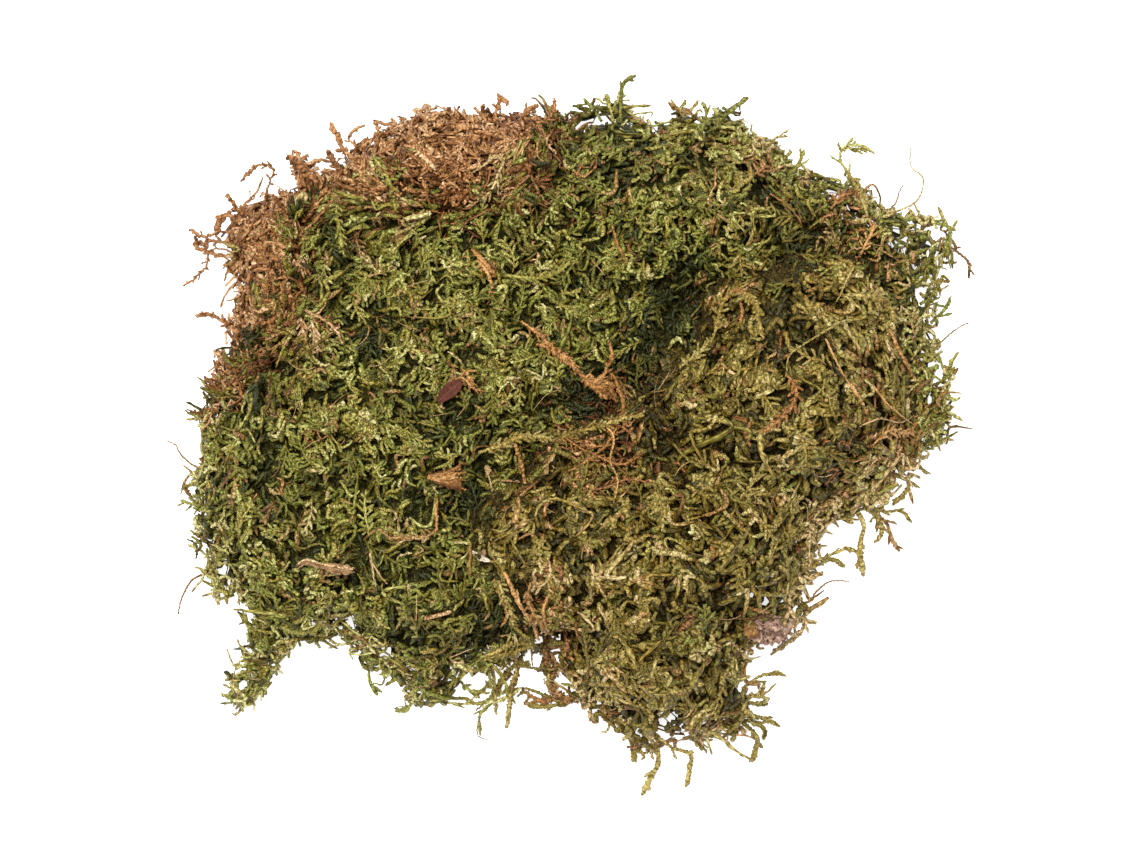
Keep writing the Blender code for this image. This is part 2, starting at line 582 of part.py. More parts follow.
def build_litter(surface):
    """The scraps that lie on the moss: bark, a bud scale, a cone scale, a dead frond and straw."""
    frond = ribbon(
        "dead_frond", surface,
        [(-12, 30), (-9, 27), (-6, 25), (-3, 21), (0, 19), (4, 17), (8, 13), (11, 10), (14, 7)],
        [1.0, 1.8, 2.4, 3.2, 2.2, 2.8, 3.6, 3.4, 2.0], 0.8, "rust", crown=0.4,
    )
    fork = ribbon(
        "dead_frond_fork", surface, [(9.5, 12), (11, 15), (11, 18), (11.5, 21), (12, 24.5)],
        [1.6, 2.2, 2.6, 2.2, 1.0], 0.8, "rust", crown=0.4,
    )
    grow(frond, fork)
    ribbon(
        "cone_scale", surface, [(-37.5, -10.5), (-34, -11), (-30.5, -11.5), (-28, -12)],
        [1.0, 3.6, 6.4, 7.4], 0.9, "rust", crown=0.5, slope=0.3,
    )
    ribbon(
        "bud_scale", surface, [(-34, 10.2), (-32.6, 11.4), (-31.1, 12.5), (-29.6, 13.6), (-28.2, 14.8)],
        [0.9, 3.0, 3.7, 3.1, 0.9], 0.6, "red_leaf", crown=0.6,
    )
    ribbon(
        "withered_shoot", surface, [(-72, -33), (-68, -33), (-64.5, -34), (-61, -35), (-57.5, -34.5)],
        [1.4, 2.2, 2.0, 3.4, 2.0], 0.9, "straw", crown=0.5,
    )
    ribbon("straw", surface, [(-38, -47.5), (-35, -47), (-31.5, -45.5)], [0.9, 1.2, 1.2], 0.8, "straw")
    ribbon(
        "pale_flake", surface, [(-25.2, -30.9), (-23.2, -31.8), (-20.8, -32.9)], [1.0, 2.2, 1.3], 0.6, "pale",
        crown=0.3,
    )
    ribbon(
        "bark_flake", surface, [(47, -50.5), (50, -51), (54, -50.5), (58, -51), (62, -50.5)],
        [4.0, 7.5, 9.0, 7.0, 2.0], 1.4, "bark", crown=0.8, slope=0.45,
    )


def main():
    clear_scene()
    turfs = build_turfs()
    for name, turf in turfs.items():
        add_sprigs(name, turf)
    build_litter(MossSurface(turfs))


main()
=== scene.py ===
"""The looks of the dried moss clump.

Every turf is rebuilt as what it is: thousands of short, plait-like leafy shoots and feathery fronds, rooted
in a core of old stems, coloured dark partly as painted shade of the deep gaps, and reaching the surface of
the turf's CAD solid. All sizes are in metres, except in the tables that say millimetres.
"""

import itertools
import math

import bmesh
import bpy
import numpy as np
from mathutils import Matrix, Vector
from mathutils.bvhtree import BVHTree


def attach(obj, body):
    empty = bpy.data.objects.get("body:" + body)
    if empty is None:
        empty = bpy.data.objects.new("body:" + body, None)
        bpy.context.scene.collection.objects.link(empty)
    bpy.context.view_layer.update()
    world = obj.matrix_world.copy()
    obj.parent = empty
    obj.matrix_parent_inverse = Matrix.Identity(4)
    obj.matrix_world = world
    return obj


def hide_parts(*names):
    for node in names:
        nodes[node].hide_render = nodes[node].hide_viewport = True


MM = 0.001
DOWN, UP = Vector((0, 0, -1)), Vector((0, 0, 1))
FLOOR_GAP = 0.15 * MM  # nothing reaches lower than this above the floor

# Seeds of the random draws: every run gives the same clump.
EDGE_GAP_SEED, COVER_SEED, FROND_SEED, STRAND_SEED = 80, 100, 140, 300
WIRE_SEED, UNDERSIDE_SEED, LITTER_SEED, SPRIG_SEED = 310, 320, 400, 900

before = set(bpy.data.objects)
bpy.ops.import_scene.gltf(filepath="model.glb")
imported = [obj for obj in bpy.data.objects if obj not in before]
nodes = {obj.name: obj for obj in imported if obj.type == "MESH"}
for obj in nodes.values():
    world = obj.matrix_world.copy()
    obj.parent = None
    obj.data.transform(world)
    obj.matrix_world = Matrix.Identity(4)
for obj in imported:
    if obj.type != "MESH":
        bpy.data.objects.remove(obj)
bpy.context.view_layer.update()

# ---------------------------------------------------------------- free shoots at the edges, in millimetres
# name: (turf, radius, points from the root inside the turf to the tip)
SPRIGS = {
    "top_tall": ("green", 0.8, [(14, 85, 13), (14, 91, 16), (15, 95, 17), (18, 97, 16)]),
    "top_left_tuft": ("green", 0.9, [(12, 85, 12), (11, 89, 14), (10, 92, 16)]),
    "top_left_spur": ("green", 0.7, [(9, 85, 11), (7, 88, 12), (4, 91, 13)]),
    "top_right_horn": ("green", 0.9, [(40, 85, 12), (44, 88, 14), (48, 91, 16)]),
    "top_right_nub": ("green", 0.8, [(37, 85, 11), (37, 88, 12), (36, 90, 13)]),
    "top_dry_blade": ("green", 0.9, [(36, 85, 11), (33, 87, 12), (30, 88, 12), (27, 90, 13)]),
    "shoulder_hook": ("green", 0.6, [(53, 76, 10), (55, 80, 11), (57, 81, 12), (59, 81, 12)]),
    "shoulder_spur": ("green", 0.7, [(56, 73, 10), (58, 75, 11), (60, 77, 12)]),
    "shoulder_horn": ("green", 0.8, [(60, 71, 10), (62, 74, 12), (63, 77, 14)]),
    "swan_neck": (
        "green", 0.7,
        [(79, 65, 9), (76, 70, 12), (73, 74, 15), (73, 77, 17), (75, 78, 18), (78, 78, 18), (82, 76, 16)],
    ),
    "hair_loop": (
        "green", 0.45,
        [(84, 61, 9), (88, 61, 10), (93, 63, 11), (95, 66, 12), (95, 70, 13), (92, 73, 13), (92, 78, 13)],
    ),
    "hair_spur": ("green", 0.4, [(85, 60, 8), (88, 63, 10), (89, 66, 11), (90, 68, 12)]),
    "arch": ("green", 0.55, [(78, 64, 9), (80, 67, 11), (82, 68, 12), (84, 65, 10), (84, 62, 8)]),
    "corner_loop": ("green", 0.8, [(88, 58, 8), (94, 59, 9), (99, 58, 9), (103, 56, 9), (101, 49, 7)]),
    "corner_leaf": ("green", 0.6, [(95, 54, 7), (102, 52, 8), (105, 50, 9), (108, 47, 9), (108, 43, 8)]),
    "right_horn_high": ("green", 0.8, [(95, 36, 7), (98, 38, 8), (100, 41, 10)]),
    "right_horn_low": ("green", 0.8, [(98, 31, 7), (101, 34, 8), (103, 37, 10)]),
    "right_wire": ("green", 0.45, [(97, 21, 7), (100, 25, 8), (103, 28, 9), (106, 30, 9), (108, 31, 9)]),
    "right_lobe": ("green", 1.0, [(99, 14, 6), (102, 16, 7), (104, 18, 8)]),
    "right_tip": ("green", 0.7, [(99, 7, 6), (102, 7, 7), (106, 5, 7)]),
    "olive_side_fringe": ("olive", 1.0, [(88, -10, 8), (92, -12, 7), (91, -15, 6), (88, -18, 5)]),
    "olive_side_spur": ("olive", 0.7, [(91, -6, 9), (94, -7, 8), (97, -10, 7)]),
    "olive_bar": ("olive", 0.7, [(81, -18, 8), (85, -20, 7), (90, -20, 6), (93, -23, 5)]),
    "olive_dropper": ("olive", 0.8, [(78, -17, 7), (82, -20, 6), (86, -23, 5), (88, -28, 4), (90, -31, 3)]),
    "olive_wide_sprig": ("olive", 1.2, [(78, -20, 7), (80, -24, 6), (79, -30, 5), (80, -37, 4)]),
    "olive_bridge": ("olive", 0.7, [(63, -33, 7), (68, -33, 6), (73, -31, 5), (76, -30, 5), (79, -32, 5)]),
    "olive_wire": ("olive", 0.45, [(63, -45, 7), (66, -44, 6), (67, -42, 5), (71, -39, 5), (76, -39, 5)]),
    "olive_side_twig": ("olive", 0.9, [(80, -19, 7), (84, -22, 6), (85, -25, 5), (84, -28, 4)]),
    "olive_bay_shoot": ("olive", 0.9, [(62, -32, 7), (67, -34.5, 6), (71, -33, 5), (75, -35, 5)]),
    "right_bud": ("green", 1.1, [(95, 19, 7), (98, 18.4, 7), (100, 19.4, 7)]),
    "olive_hanger": (
        "olive", 0.8, [(59, -41, 7), (63, -44, 6), (64, -49, 5), (63, -53, 4), (59, -56, 3), (55, -59, 2.5)],
    ),
    "olive_twig_upper": ("olive", 0.8, [(47, -68, 7), (51, -65, 7), (54, -64, 7), (58, -64, 6)]),
    "olive_twig_lower": ("olive", 0.8, [(48, -71, 6), (52, -69, 5), (53, -67, 5)]),
    "olive_finger_upper": ("olive", 0.95, [(46, -71, 6), (50, -72, 6), (54, -72, 6)]),
    "olive_finger_lower": ("olive", 0.9, [(46, -74, 5), (52, -76, 4), (57, -78, 4)]),
    "olive_crook": ("olive", 0.9, [(44, -76, 5), (49, -77, 5), (53, -79, 4), (53, -82, 3)]),
    "olive_pendant": ("olive", 1.15, [(47, -77, 5), (51, -81, 4), (51, -84, 3), (50, -88, 2)]),
    "olive_point": ("olive", 0.9, [(34, -78, 5), (36, -82, 4), (36, -85, 3)]),
    "olive_branch": ("olive", 0.95, [(23, -80, 6), (28, -84, 5), (33, -86, 4), (33, -90, 3), (32, -95, 2)]),
    "olive_tail": ("olive", 1.1, [(19, -79, 6), (24, -84, 5), (24, -89, 4), (22, -93, 3), (20, -97.2, 2)]),
    "olive_tuft": ("olive", 1.2, [(14, -77, 6), (17, -82, 5), (18, -88, 3)]),
    "foot_twig": ("olive", 0.7, [(6, -71, 6), (6, -74, 5), (6, -77, 4)]),
    "foot_bar": ("olive", 0.9, [(3, -69, 6), (-2, -72, 5), (-6, -73, 4), (-11, -73, 3)]),
    "foot_string": (
        "green", 0.7, [(-40, -70, 6), (-32, -72, 5), (-24, -72, 5), (-18, -71, 5), (-13, -68, 5)],
    ),
    "foot_fork": ("green", 0.6, [(-22, -62, 6), (-21, -67, 6), (-20, -71, 5), (-24, -75, 4), (-24, -81, 2)]),
    "foot_drop": ("green", 0.8, [(-20, -62, 6), (-16, -69, 5), (-16, -74, 4), (-17, -79, 2)]),
    "lobe_drop": ("green", 0.8, [(-54, -61, 6), (-54, -66, 4), (-52, -70, 3)]),
    "lobe_toe": ("green", 0.9, [(-42, -71, 6), (-44, -74, 5), (-47, -74, 3)]),
    "bay_string": ("green", 0.6, [(-55, -59, 6), (-58, -56, 5), (-63, -56, 5), (-67, -52, 6)]),
    "leg_toe": ("green", 1.2, [(-87, -69, 5), (-90, -71, 4), (-93, -70, 4)]),
    "leg_drop": ("green", 0.7, [(-80, -62, 5), (-82, -67, 4), (-83, -70, 2)]),
    "leg_hair": ("green", 0.4, [(-90, -70, 5), (-91, -67, 6), (-90, -62, 7)]),
    "left_wire_low": (
        "green", 0.5, [(-96, -36, 7), (-101, -38, 7), (-103, -40, 6), (-105, -44, 5), (-106, -48, 4)],
    ),
    "left_spur_low": ("green", 0.6, [(-96, -35, 7), (-99, -31, 7), (-103, -29, 7)]),
    "left_nub": ("green", 0.7, [(-98, -19, 7), (-102, -18, 7), (-105, -17, 7)]),
    "left_wire_high": (
        "green", 0.45, [(-98, -9, 9), (-102, -7, 9), (-105, -4, 9), (-106, -2, 9), (-108.2, -1, 9)],
    ),
    "left_curl": ("green", 0.7, [(-98, -11, 8), (-102, -10, 8), (-104, -13, 8), (-102, -16, 7)]),
    "left_fork": ("green", 0.8, [(-96, 2, 8), (-99, 5, 9), (-102, 7, 10)]),
    "brown_hook": ("brown", 0.8, [(-88, 27, 8), (-92, 30, 8), (-96, 33, 8), (-101, 33, 8)]),
    "brown_wire": (
        "brown", 0.5, [(-89, 49, 8), (-94, 51, 9), (-97, 50, 9), (-98, 46, 8), (-101, 43, 8), (-104, 41, 7)],
    ),
    "brown_claw": ("brown", 0.8, [(-90, 52, 9), (-96, 53, 10), (-99, 52, 10), (-101, 54, 10)]),
    "brown_claw_low": ("brown", 0.8, [(-89, 50, 8), (-94, 49, 9), (-98, 50.5, 9), (-101.5, 52, 9)]),
    "brown_claw_high": ("brown", 0.7, [(-90, 55, 9), (-94, 55.5, 10), (-98, 54, 10), (-102, 56, 10)]),
    "brown_lump": ("brown", 1.7, [(-66, 67, 9), (-69, 70, 11), (-72, 73, 12), (-75.5, 75.5, 12)]),
    "leg_side": ("green", 1.0, [(-82, -50, 6), (-85, -53, 5), (-86, -57, 4)]),
    "brown_thumb": ("brown", 1.2, [(-89, 58, 10), (-92, 60, 11), (-94, 59, 10), (-95, 55, 9)]),
    "brown_spike": ("brown", 0.8, [(-87, 59, 10), (-90, 63, 12), (-92, 65, 13)]),
    "brown_loop": (
        "brown", 0.6,
        [(-82, 63, 9), (-81, 67, 12), (-79, 72, 15), (-83, 73, 15), (-85, 72, 14), (-88, 69, 12)],
    ),
    "brown_fork": ("brown", 1.1, [(-57, 74, 10), (-61, 78, 12), (-62, 81, 13), (-64, 84, 14)]),
    "brown_sickle": ("brown", 0.6, [(-55, 77, 10), (-59, 80, 12), (-58, 82, 14), (-55, 84, 14)]),
    "brown_spine": ("brown", 0.7, [(-50, 79, 10), (-51, 82, 12), (-52, 85, 13)]),
    "brown_prong": ("brown", 1.1, [(-61, 70, 9), (-63, 74, 11), (-65, 77, 12)]),
    "brown_top_hook": ("brown", 0.9, [(-20, 85, 12), (-19, 89, 15), (-18, 91, 17), (-16, 89, 17)]),
    "brown_top_fringe": ("brown", 0.9, [(-13, 85, 11), (-11, 88, 13), (-8, 89, 14)]),
    "brown_top_spur": ("brown", 0.7, [(-9, 81, 8), (-6, 85, 11), (-4, 88, 13), (-4, 91, 14)]),
    "foot_web": ("olive", 1.1, [(-6.6, -53, 7), (-6.2, -56, 6), (-6, -59, 5), (-6.2, -62.4, 5)]),
    "foot_web_bar": ("olive", 0.7, [(-15, -61.6, 6), (-10.4, -62.4, 5), (-6, -62.8, 5), (-1, -62.6, 5)]),
    "foot_web_thread": ("olive", 0.5, [(-9.6, -54, 6), (-10, -57.4, 5.5), (-9.8, -62, 5)]),
    "corner_web": ("green", 0.95, [(84, 54.6, 8), (87, 54, 8), (90, 52.8, 8), (92.5, 51, 7), (94, 49.2, 7)]),
    "corner_web_rib": (
        "green", 0.9, [(85, 50, 7), (88.4, 51.4, 8), (89.8, 54, 8), (90.4, 56.2, 8), (94, 57.4, 8)],
    ),
    "corner_web_edge": (
        "green", 0.9, [(83, 56.8, 8), (86.2, 56.6, 8), (87.6, 57.6, 8), (92, 59, 8), (97, 59.4, 8)],
    ),
}
# Free shoots that aren't their turf's own colour, by the place of their tint in that turf's colours.
SPRIG_TINTS = {
    "top_dry_blade": 0.9, "hair_loop": 0.8, "hair_spur": 0.92, "arch": 0.9, "corner_leaf": 0.95,
    "right_wire": 0.88, "left_wire_low": 0.95, "left_wire_high": 0.93, "left_curl": 0.9, "left_spur_low": 0.7,
    "leg_hair": 0.85, "foot_string": 0.72, "olive_wire": 0.92, "olive_hanger": 0.8, "swan_neck": 0.7,
    "olive_dropper": 0.88, "brown_wire": 0.45, "brown_loop": 0.4, "shoulder_hook": 0.82, "bay_string": 0.75,
    "foot_web": 0.96, "foot_web_bar": 0.3, "foot_web_thread": 0.9, "corner_web": 0.3, "corner_web_rib": 0.42,
    "corner_web_edge": 0.6,
}

# ---------------------------------------------------------------- places in the moss, in millimetres
# Patches where another turf's moss shows: x, y, radius, how much of it, and whose.
PATCHES = [
    (-48, 70, 5, 0.9, "green"), (-13.5, 70, 4, 0.8, "green"), (-30, 60, 7, 0.4, "brown"),
    (-44, 66, 6, 0.6, "brown"), (5, -1, 9, 0.7, "brown"), (16, -5, 8, 0.7, "brown"),
    (84, 4, 9, 0.5, "brown"), (88, -3, 7, 0.4, "brown"), (-11, 67, 6, 0.35, "brown"),
    (-75, 46, 8, 0.5, "brown"), (-91, 14, 5, 0.6, "brown"), (74, -7, 8, 0.4, "brown"),
    (44, 34, 6, 0.3, "brown"), (-8, -48, 7, 0.5, "brown"), (-12, -40, 5, 0.5, "brown"),
    (-21, 46, 6, 0.3, "brown"), (-70, 28, 8, 0.55, "brown"), (-6, -58, 8, 0.3, "brown"),
    (35, -80, 7, 0.3, "brown"), (74, 64, 5, 0.5, "brown"), (84, 51, 6, 0.4, "brown"),
    (50, 71, 5, 0.5, "brown"), (66, 57, 12, 0.25, "brown"), (-75, 5, 6, 0.2, "brown"),
    (5, 62, 7, 0.15, "brown"), (-84, -12, 6, 0.15, "brown"), (-62, -2, 5, 0.2, "brown"),
    (-15, -30, 8, 0.4, "olive"), (30, 12, 9, 0.5, "olive"), (62, 55, 14, 0.4, "olive"),
    (88, 45, 9, 0.3, "olive"), (-40, -55, 9, 0.25, "olive"), (45, 70, 12, 0.25, "olive"),
    (-17, -58, 6, 0.6, "olive"), (-80, 38, 6, 0.4, "olive"), (-88.5, 36, 4, 0.5, "olive"),
    (-78, 27, 6, 0.4, "olive"), (-84, 48, 4, 0.3, "olive"), (58, -10, 9, 0.35, "green"),
    (40, -52, 8, 0.3, "green"), (22, -20, 8, 0.25, "green"), (80, -12, 6, 0.3, "green"),
]
# Hollows between the tufts: x, y, radius, and how deep the shoots are sunk there, which also darkens them
# with painted shade.
HOLLOWS = [
    (-14, -44, 5, 4.5), (-24, -17, 5, 3.5), (-10, -5, 5, 4), (6, 10, 6, 4.5), (20, 24, 7, 5),
    (22, 14, 5, 2.6), (33, 36, 6, 4.5), (-16, 50, 4, 3), (38, -41, 7, 1.4), (-6, 24, 4, 3),
    (54, 41, 6, 3.6), (56, 27, 6, 4), (-70, -30, 4, 2.5), (70, 49, 5, 4), (66, 53, 5, 3), (-35, -8, 4, 2.5),
    (30, -1, 6, 4), (-60, 40, 4, 2), (75, -4, 4, 2.5), (2, -30, 4, 2.5), (48, -5, 5, 3), (-82, 20, 4, 2),
    (-20, -56, 5, 3), (-28, 2, 5, 2.5), (-31, 85, 3, 2.5), (-6, 79.5, 3, 3), (-41, 67.5, 3, 1.5),
    (-31, 67, 3, 1.5), (-60, 50, 4, 3), (-44, 38, 4, 3), (2, 42, 4, 3.5), (-80, 40, 3, 2.5),
    (-50, 80, 3, 2), (-18, 77, 3, 2.5), (-52, 25, 4, 2.5), (-8, 66, 4, 2.5),
]
# Gaps that the floor shows through: x, y, radius.
GAPS = [
    (48.6, -42, 0.7), (52.1, -43.9, 1.1), (56.4, -43.9, 0.8), (-11.2, -58.2, 0.8), (-9, -56.7, 0.7),
    (-11.4, -60.1, 0.9), (-8.3, -59.6, 1.0), (-4, -57.8, 0.9), (-3.7, -60.4, 1.2), (-2.6, -66.8, 1.0),
    (-1, -65.5, 0.7), (1.2, -68.2, 0.6), (-58.5, -49.3, 0.7), (71.2, 65.8, 1.2), (76.5, 60.4, 0.5),
    (81.7, 57.9, 0.4), (88.6, 55.7, 0.6), (91.3, 57.5, 0.5), (86.8, 52.1, 0.4), (90.4, 50.6, 0.4),
    (92.2, 53.2, 0.3), (95.1, 50.6, 0.5), (91.1, 47.4, 0.3), (94.4, 47.4, 0.5), (99.2, 53.9, 0.8),
    (98.7, 56, 0.3), (94, 39.4, 0.5), (27.3, -74.6, 1.15), (24.6, -78.8, 1.0), (29.5, -80.7, 1.1),
    (19.7, -79.7, 0.9), (47, -67.1, 1.0), (49.9, -72, 1.2), (53.3, -74.9, 1.2), (47.9, -77.3, 1.0),
    (41.1, -82.6, 0.8), (-33, -66, 0.8),
]
# Places just outside the clump that its shoots leave free: x, y, radius.
FREE_PLACES = [
    (-97.6, 27, 2), (-100, 20, 2.4), (-101.8, 13.5, 2.4), (-109, -9, 4), (-108, -23, 2.6),
    (-93.4, -52, 3.4), (66.8, -54, 2.4), (53.2, 84.6, 2.4), (60, 79.6, 2.4), (69, 73.6, 2.2),
    (57.5, -59.5, 2), (12, -81, 1.4), (-103, -1.5, 1.2), (-79.5, -73.3, 1.6), (-97, -64.3, 3),
    (-95.6, -67.6, 1.5),
]

# ---------------------------------------------------------------- repeatable noise


def lattice(cells, seed):
    """A repeatable random number from 0 to 1 for each whole-numbered cell, (N, 3)."""
    cells = cells.astype(np.uint64)
    mixed = cells[:, 0] * np.uint64(374761393) + cells[:, 1] * np.uint64(668265263)
    mixed = mixed + cells[:, 2] * np.uint64(2147483647) + np.uint64(seed * 144269504 + 12345)
    mixed &= np.uint64(0xFFFFFFFF)
    mixed = (mixed ^ (mixed >> np.uint64(13))) * np.uint64(1274126177) & np.uint64(0xFFFFFFFF)
    mixed = (mixed ^ (mixed >> np.uint64(16))) * np.uint64(2246822519) & np.uint64(0xFFFFFFFF)
    return (mixed ^ (mixed >> np.uint64(15))) / 4294967295.0


def noise(points, width, seed):
    """Smooth noise from -1 to 1 at each point, with features of this width."""
    scaled = points / width + 1000
    base = np.floor(scaled).astype(np.int64)
    part = scaled - base
    part = part * part * (3 - 2 * part)
    total = np.zeros(len(points))
    for corner in itertools.product((0, 1), repeat=3):
        weight = np.prod(np.where(corner, part, 1 - part), axis=1)
        total += weight * lattice(base + corner, seed)
    return 2 * total - 1


# Noise fields over the clump: the width of their features, and their seed.
HEADING_FIELD = (13 * MM, 53)
CLUMPING_FIELDS = ((0.6, 4.5 * MM, 51), (0.7, 10 * MM, 52))  # these two have a share in front
PATCH_FIELD = (24 * MM, 64)
TUFT_FIELD = (6 * MM, 65)
SEAM_FIELD = (5 * MM, 71)
EDGE_FIELD = (7 * MM, 81)


def unit(vectors):
    """Vectors of length one in the same directions."""
    return vectors / np.maximum(np.linalg.norm(vectors, axis=-1, keepdims=True), 1e-12)


def plan_distance(points, place):
    """How far each point is from a place given in millimetres, seen from above."""
    return np.linalg.norm(points[..., :2] - np.array(place) * MM, axis=-1)


# ---------------------------------------------------------------- CAD surfaces


class Surface:
    """The outer surface of a CAD solid or of another closed mesh."""

    def __init__(self, mesh):
        mesh.calc_loop_triangles()
        places = np.empty(len(mesh.vertices) * 3)
        mesh.vertices.foreach_get("co", places)
        corners = np.empty(len(mesh.loop_triangles) * 3, np.int32)
        mesh.loop_triangles.foreach_get("vertices", corners)
        merged, same = np.unique(places.reshape(-1, 3).round(7), axis=0, return_inverse=True)
        self.points = merged
        self.faces = same.reshape(-1)[corners].reshape(-1, 3)
        a, b, c = (self.points[self.faces[:, i]] for i in range(3))
        cross = np.cross(b - a, c - a)
        self.areas = np.linalg.norm(cross, axis=1) / 2
        self.face_normals = unit(cross)
        normals = np.zeros_like(self.points)
        for i in range(3):
            np.add.at(normals, self.faces[:, i], cross)
        for _ in range(2):
            smooth = normals.copy()
            for i, j in ((0, 1), (1, 2), (2, 0)):
                np.add.at(smooth, self.faces[:, i], normals[self.faces[:, j]] * 0.35)
                np.add.at(smooth, self.faces[:, j], normals[self.faces[:, i]] * 0.35)
            normals = smooth
        self.normals = unit(normals)
        self.tree = BVHTree.FromPolygons(
            [tuple(p) for p in self.points], [tuple(f) for f in self.faces.tolist()]
        )

    def scatter(self, count, rng, weights):
        """Points spread over the surface, and the smoothed outward direction at each."""
        share = self.areas * weights
        chosen = rng.choice(len(self.faces), count, p=share / share.sum())
        u, v = rng.random(count), rng.random(count)
        over = u + v > 1
        u[over], v[over] = 1 - u[over], 1 - v[over]
        mix = np.stack([1 - u - v, u, v], axis=1)[..., None]
        corners = self.faces[chosen]
        return (self.points[corners] * mix).sum(1), unit((self.normals[corners] * mix).sum(1))

    def nearest(self, points):
        """The nearest point of the surface to each point, and the smoothed outward direction there."""
        found, ups = [], []
        for point in points:
            place, _, face, _ = self.tree.find_nearest(Vector(point))
            found.append(place)
            ups.append(self.normals[self.faces[face]].sum(axis=0))
        return np.array(found), unit(np.array(ups))

    def above(self, x, y):
        """The highest point of the surface over a plan place, or None."""
        return self.tree.ray_cast(Vector((x, y, 1)), DOWN)[0]


TURFS = ("green_turf", "brown_turf", "olive_turf")
surfaces = {node: Surface(nodes[node].data) for node in TURFS}


def top_at(x, y):
    """Height of the moss over a plan place, and the turf that it is on."""
    hits = [(s.above(x, y), node) for node, s in surfaces.items()]
    hits = [(hit.z, node) for hit, node in hits if hit]
    return max(hits) if hits else (0.0, None)


def covered(points, node, reach):
    """Which points have this turf over them, and over all the places within reach of them."""
    tree = surfaces[node].tree
    ring = [(math.cos(a) * reach, math.sin(a) * reach) for a in np.linspace(0, 2 * math.pi, 8, False)]
    around = [(0, 0), *ring]
    found = np.zeros(len(points), bool)
    for i, (x, y, z) in enumerate(points):
        found[i] = all(tree.ray_cast(Vector((x + dx, y + dy, z)), UP)[0] for dx, dy in around)
    return found


# ---------------------------------------------------------------- materials


def add_node(tree, kind, inputs):
    """A shader node of this kind. Each of its inputs named here is linked to a socket or set to a value."""
    node = tree.nodes.new(f"ShaderNode{kind}")
    for name, value in inputs.items():
        if isinstance(value, bpy.types.NodeSocket):
            tree.links.new(value, node.inputs[name])
        else:
            node.inputs[name].default_value = value
    return node


def ramp(tree, source, stops):
    """A colour ramp, read at `source`, with these (place, colour) stops."""
    node = add_node(tree, "ValToRGB", {"Fac": source})
    elements = node.color_ramp.elements
    while len(elements) < len(stops):
        elements.new(0.5)
    for element, (place, colour) in zip(elements, stops):
        element.position = place
        element.color = (*colour, 1)
    return node.outputs["Color"]


def srgb(*channels):
    """A colour given as it looks on screen, 0 to 255, as linear light."""
    shares = [channel / 255 for channel in channels]
    return tuple(share / 12.92 if share <= 0.04045 else ((share + 0.055) / 1.055) ** 2.4 for share in shares)


def product(tree, first, second):
    """Two colours multiplied."""
    mix = tree.nodes.new("ShaderNodeMix")
    mix.data_type = "RGBA"
    mix.blend_type = "MULTIPLY"
    mix.inputs["Factor"].default_value = 1
    tree.links.new(first, mix.inputs["A"])
    tree.links.new(second, mix.inputs["B"])
    return mix.outputs["Result"]


def new_material(name, roughness, gloss):
    """A new material, its nodes and its shader."""
    made = bpy.data.materials.new(name)
    made.use_nodes = True
    shader = made.node_tree.nodes["Principled BSDF"]
    shader.inputs["Roughness"].default_value = roughness
    shader.inputs["Specular IOR Level"].default_value = gloss
    return made, made.node_tree, shader


def add_bump(tree, shader, height, strength, distance, inverted=False):
    """Relief on a material, as high as `distance` where `height` is 1."""
    bump = add_node(tree, "Bump", {"Strength": strength, "Distance": distance, "Height": height})
    bump.invert = inverted
    tree.links.new(bump.outputs["Normal"], shader.inputs["Normal"])


# Colour factors along a shoot, from its root to its tip: browner toward the root, as old stems are, and
# darker there as painted shade, with a painted highlight at the tip. And over each leaf, from its middle to
# its rim: a painted highlight in the middle and painted shade at the rim.
ROOT_TONE_SHADE_TIP_LIGHT = [
    (0.0, (0.62, 0.48, 0.26)), (0.3, (0.86, 0.8, 0.62)), (0.7, (1, 1, 1)), (1.0, (1.12, 1.12, 1.15)),
]
DRY_ROOT_TONE_SHADE_TIP_LIGHT = [
    (0.0, (0.62, 0.51, 0.36)), (0.3, (0.87, 0.82, 0.72)), (0.7, (1, 1, 1)), (1.0, (1.12, 1.12, 1.12)),
]
LEAF_HIGHLIGHT_SHADE = [
    (0.05, (2.35, 2.38, 3.2)), (0.2, (1.5, 1.5, 1.76)), (0.42, (0.98, 0.96, 0.88)), (0.7, (0.4, 0.36, 0.26)),
]
DRY_LEAF_HIGHLIGHT_SHADE = [
    (0.05, (2.0, 1.98, 2.0)), (0.2, (1.46, 1.42, 1.36)), (0.42, (0.96, 0.92, 0.84)), (0.7, (0.4, 0.3, 0.18)),
]


def shoot_material(name, tints, shades, leaf_highlight_shade):
    """Leafy shoots: u picks one of the tints, and v makes the shoot browner and darker toward its root, as
    old stems are and as painted shade, with a painted highlight at its tip. Small cells over both are the
    tips of overlapping leaves, raised in the middle, with a painted highlight there and painted shade in
    between."""
    leaves_across, leaves_along, leaf_relief = 120, 13, 0.2 * MM
    made, tree, shader = new_material(name, roughness=0.4, gloss=0.22)
    where = tree.nodes.new("ShaderNodeUVMap")
    where.uv_map = "OFBake"
    split = add_node(tree, "SeparateXYZ", {"Vector": where.outputs["UV"]})
    colour = product(tree, ramp(tree, split.outputs["X"], tints), ramp(tree, split.outputs["Y"], shades))
    scale = (leaves_across, leaves_along, 1)
    scaled = add_node(tree, "Mapping", {"Scale": scale, "Vector": where.outputs["UV"]})
    cells = tree.nodes.new("ShaderNodeTexVoronoi")
    cells.voronoi_dimensions = "2D"
    cells.inputs["Scale"].default_value = 1
    tree.links.new(scaled.outputs["Vector"], cells.inputs["Vector"])
    # Painted highlight in the middle of each leaf cell and painted shade at its rim.
    leaf = ramp(tree, cells.outputs["Distance"], leaf_highlight_shade)
    tree.links.new(product(tree, colour, leaf), shader.inputs["Base Color"])
    add_bump(tree, shader, cells.outputs["Distance"], 0.7, leaf_relief, inverted=True)
    return made


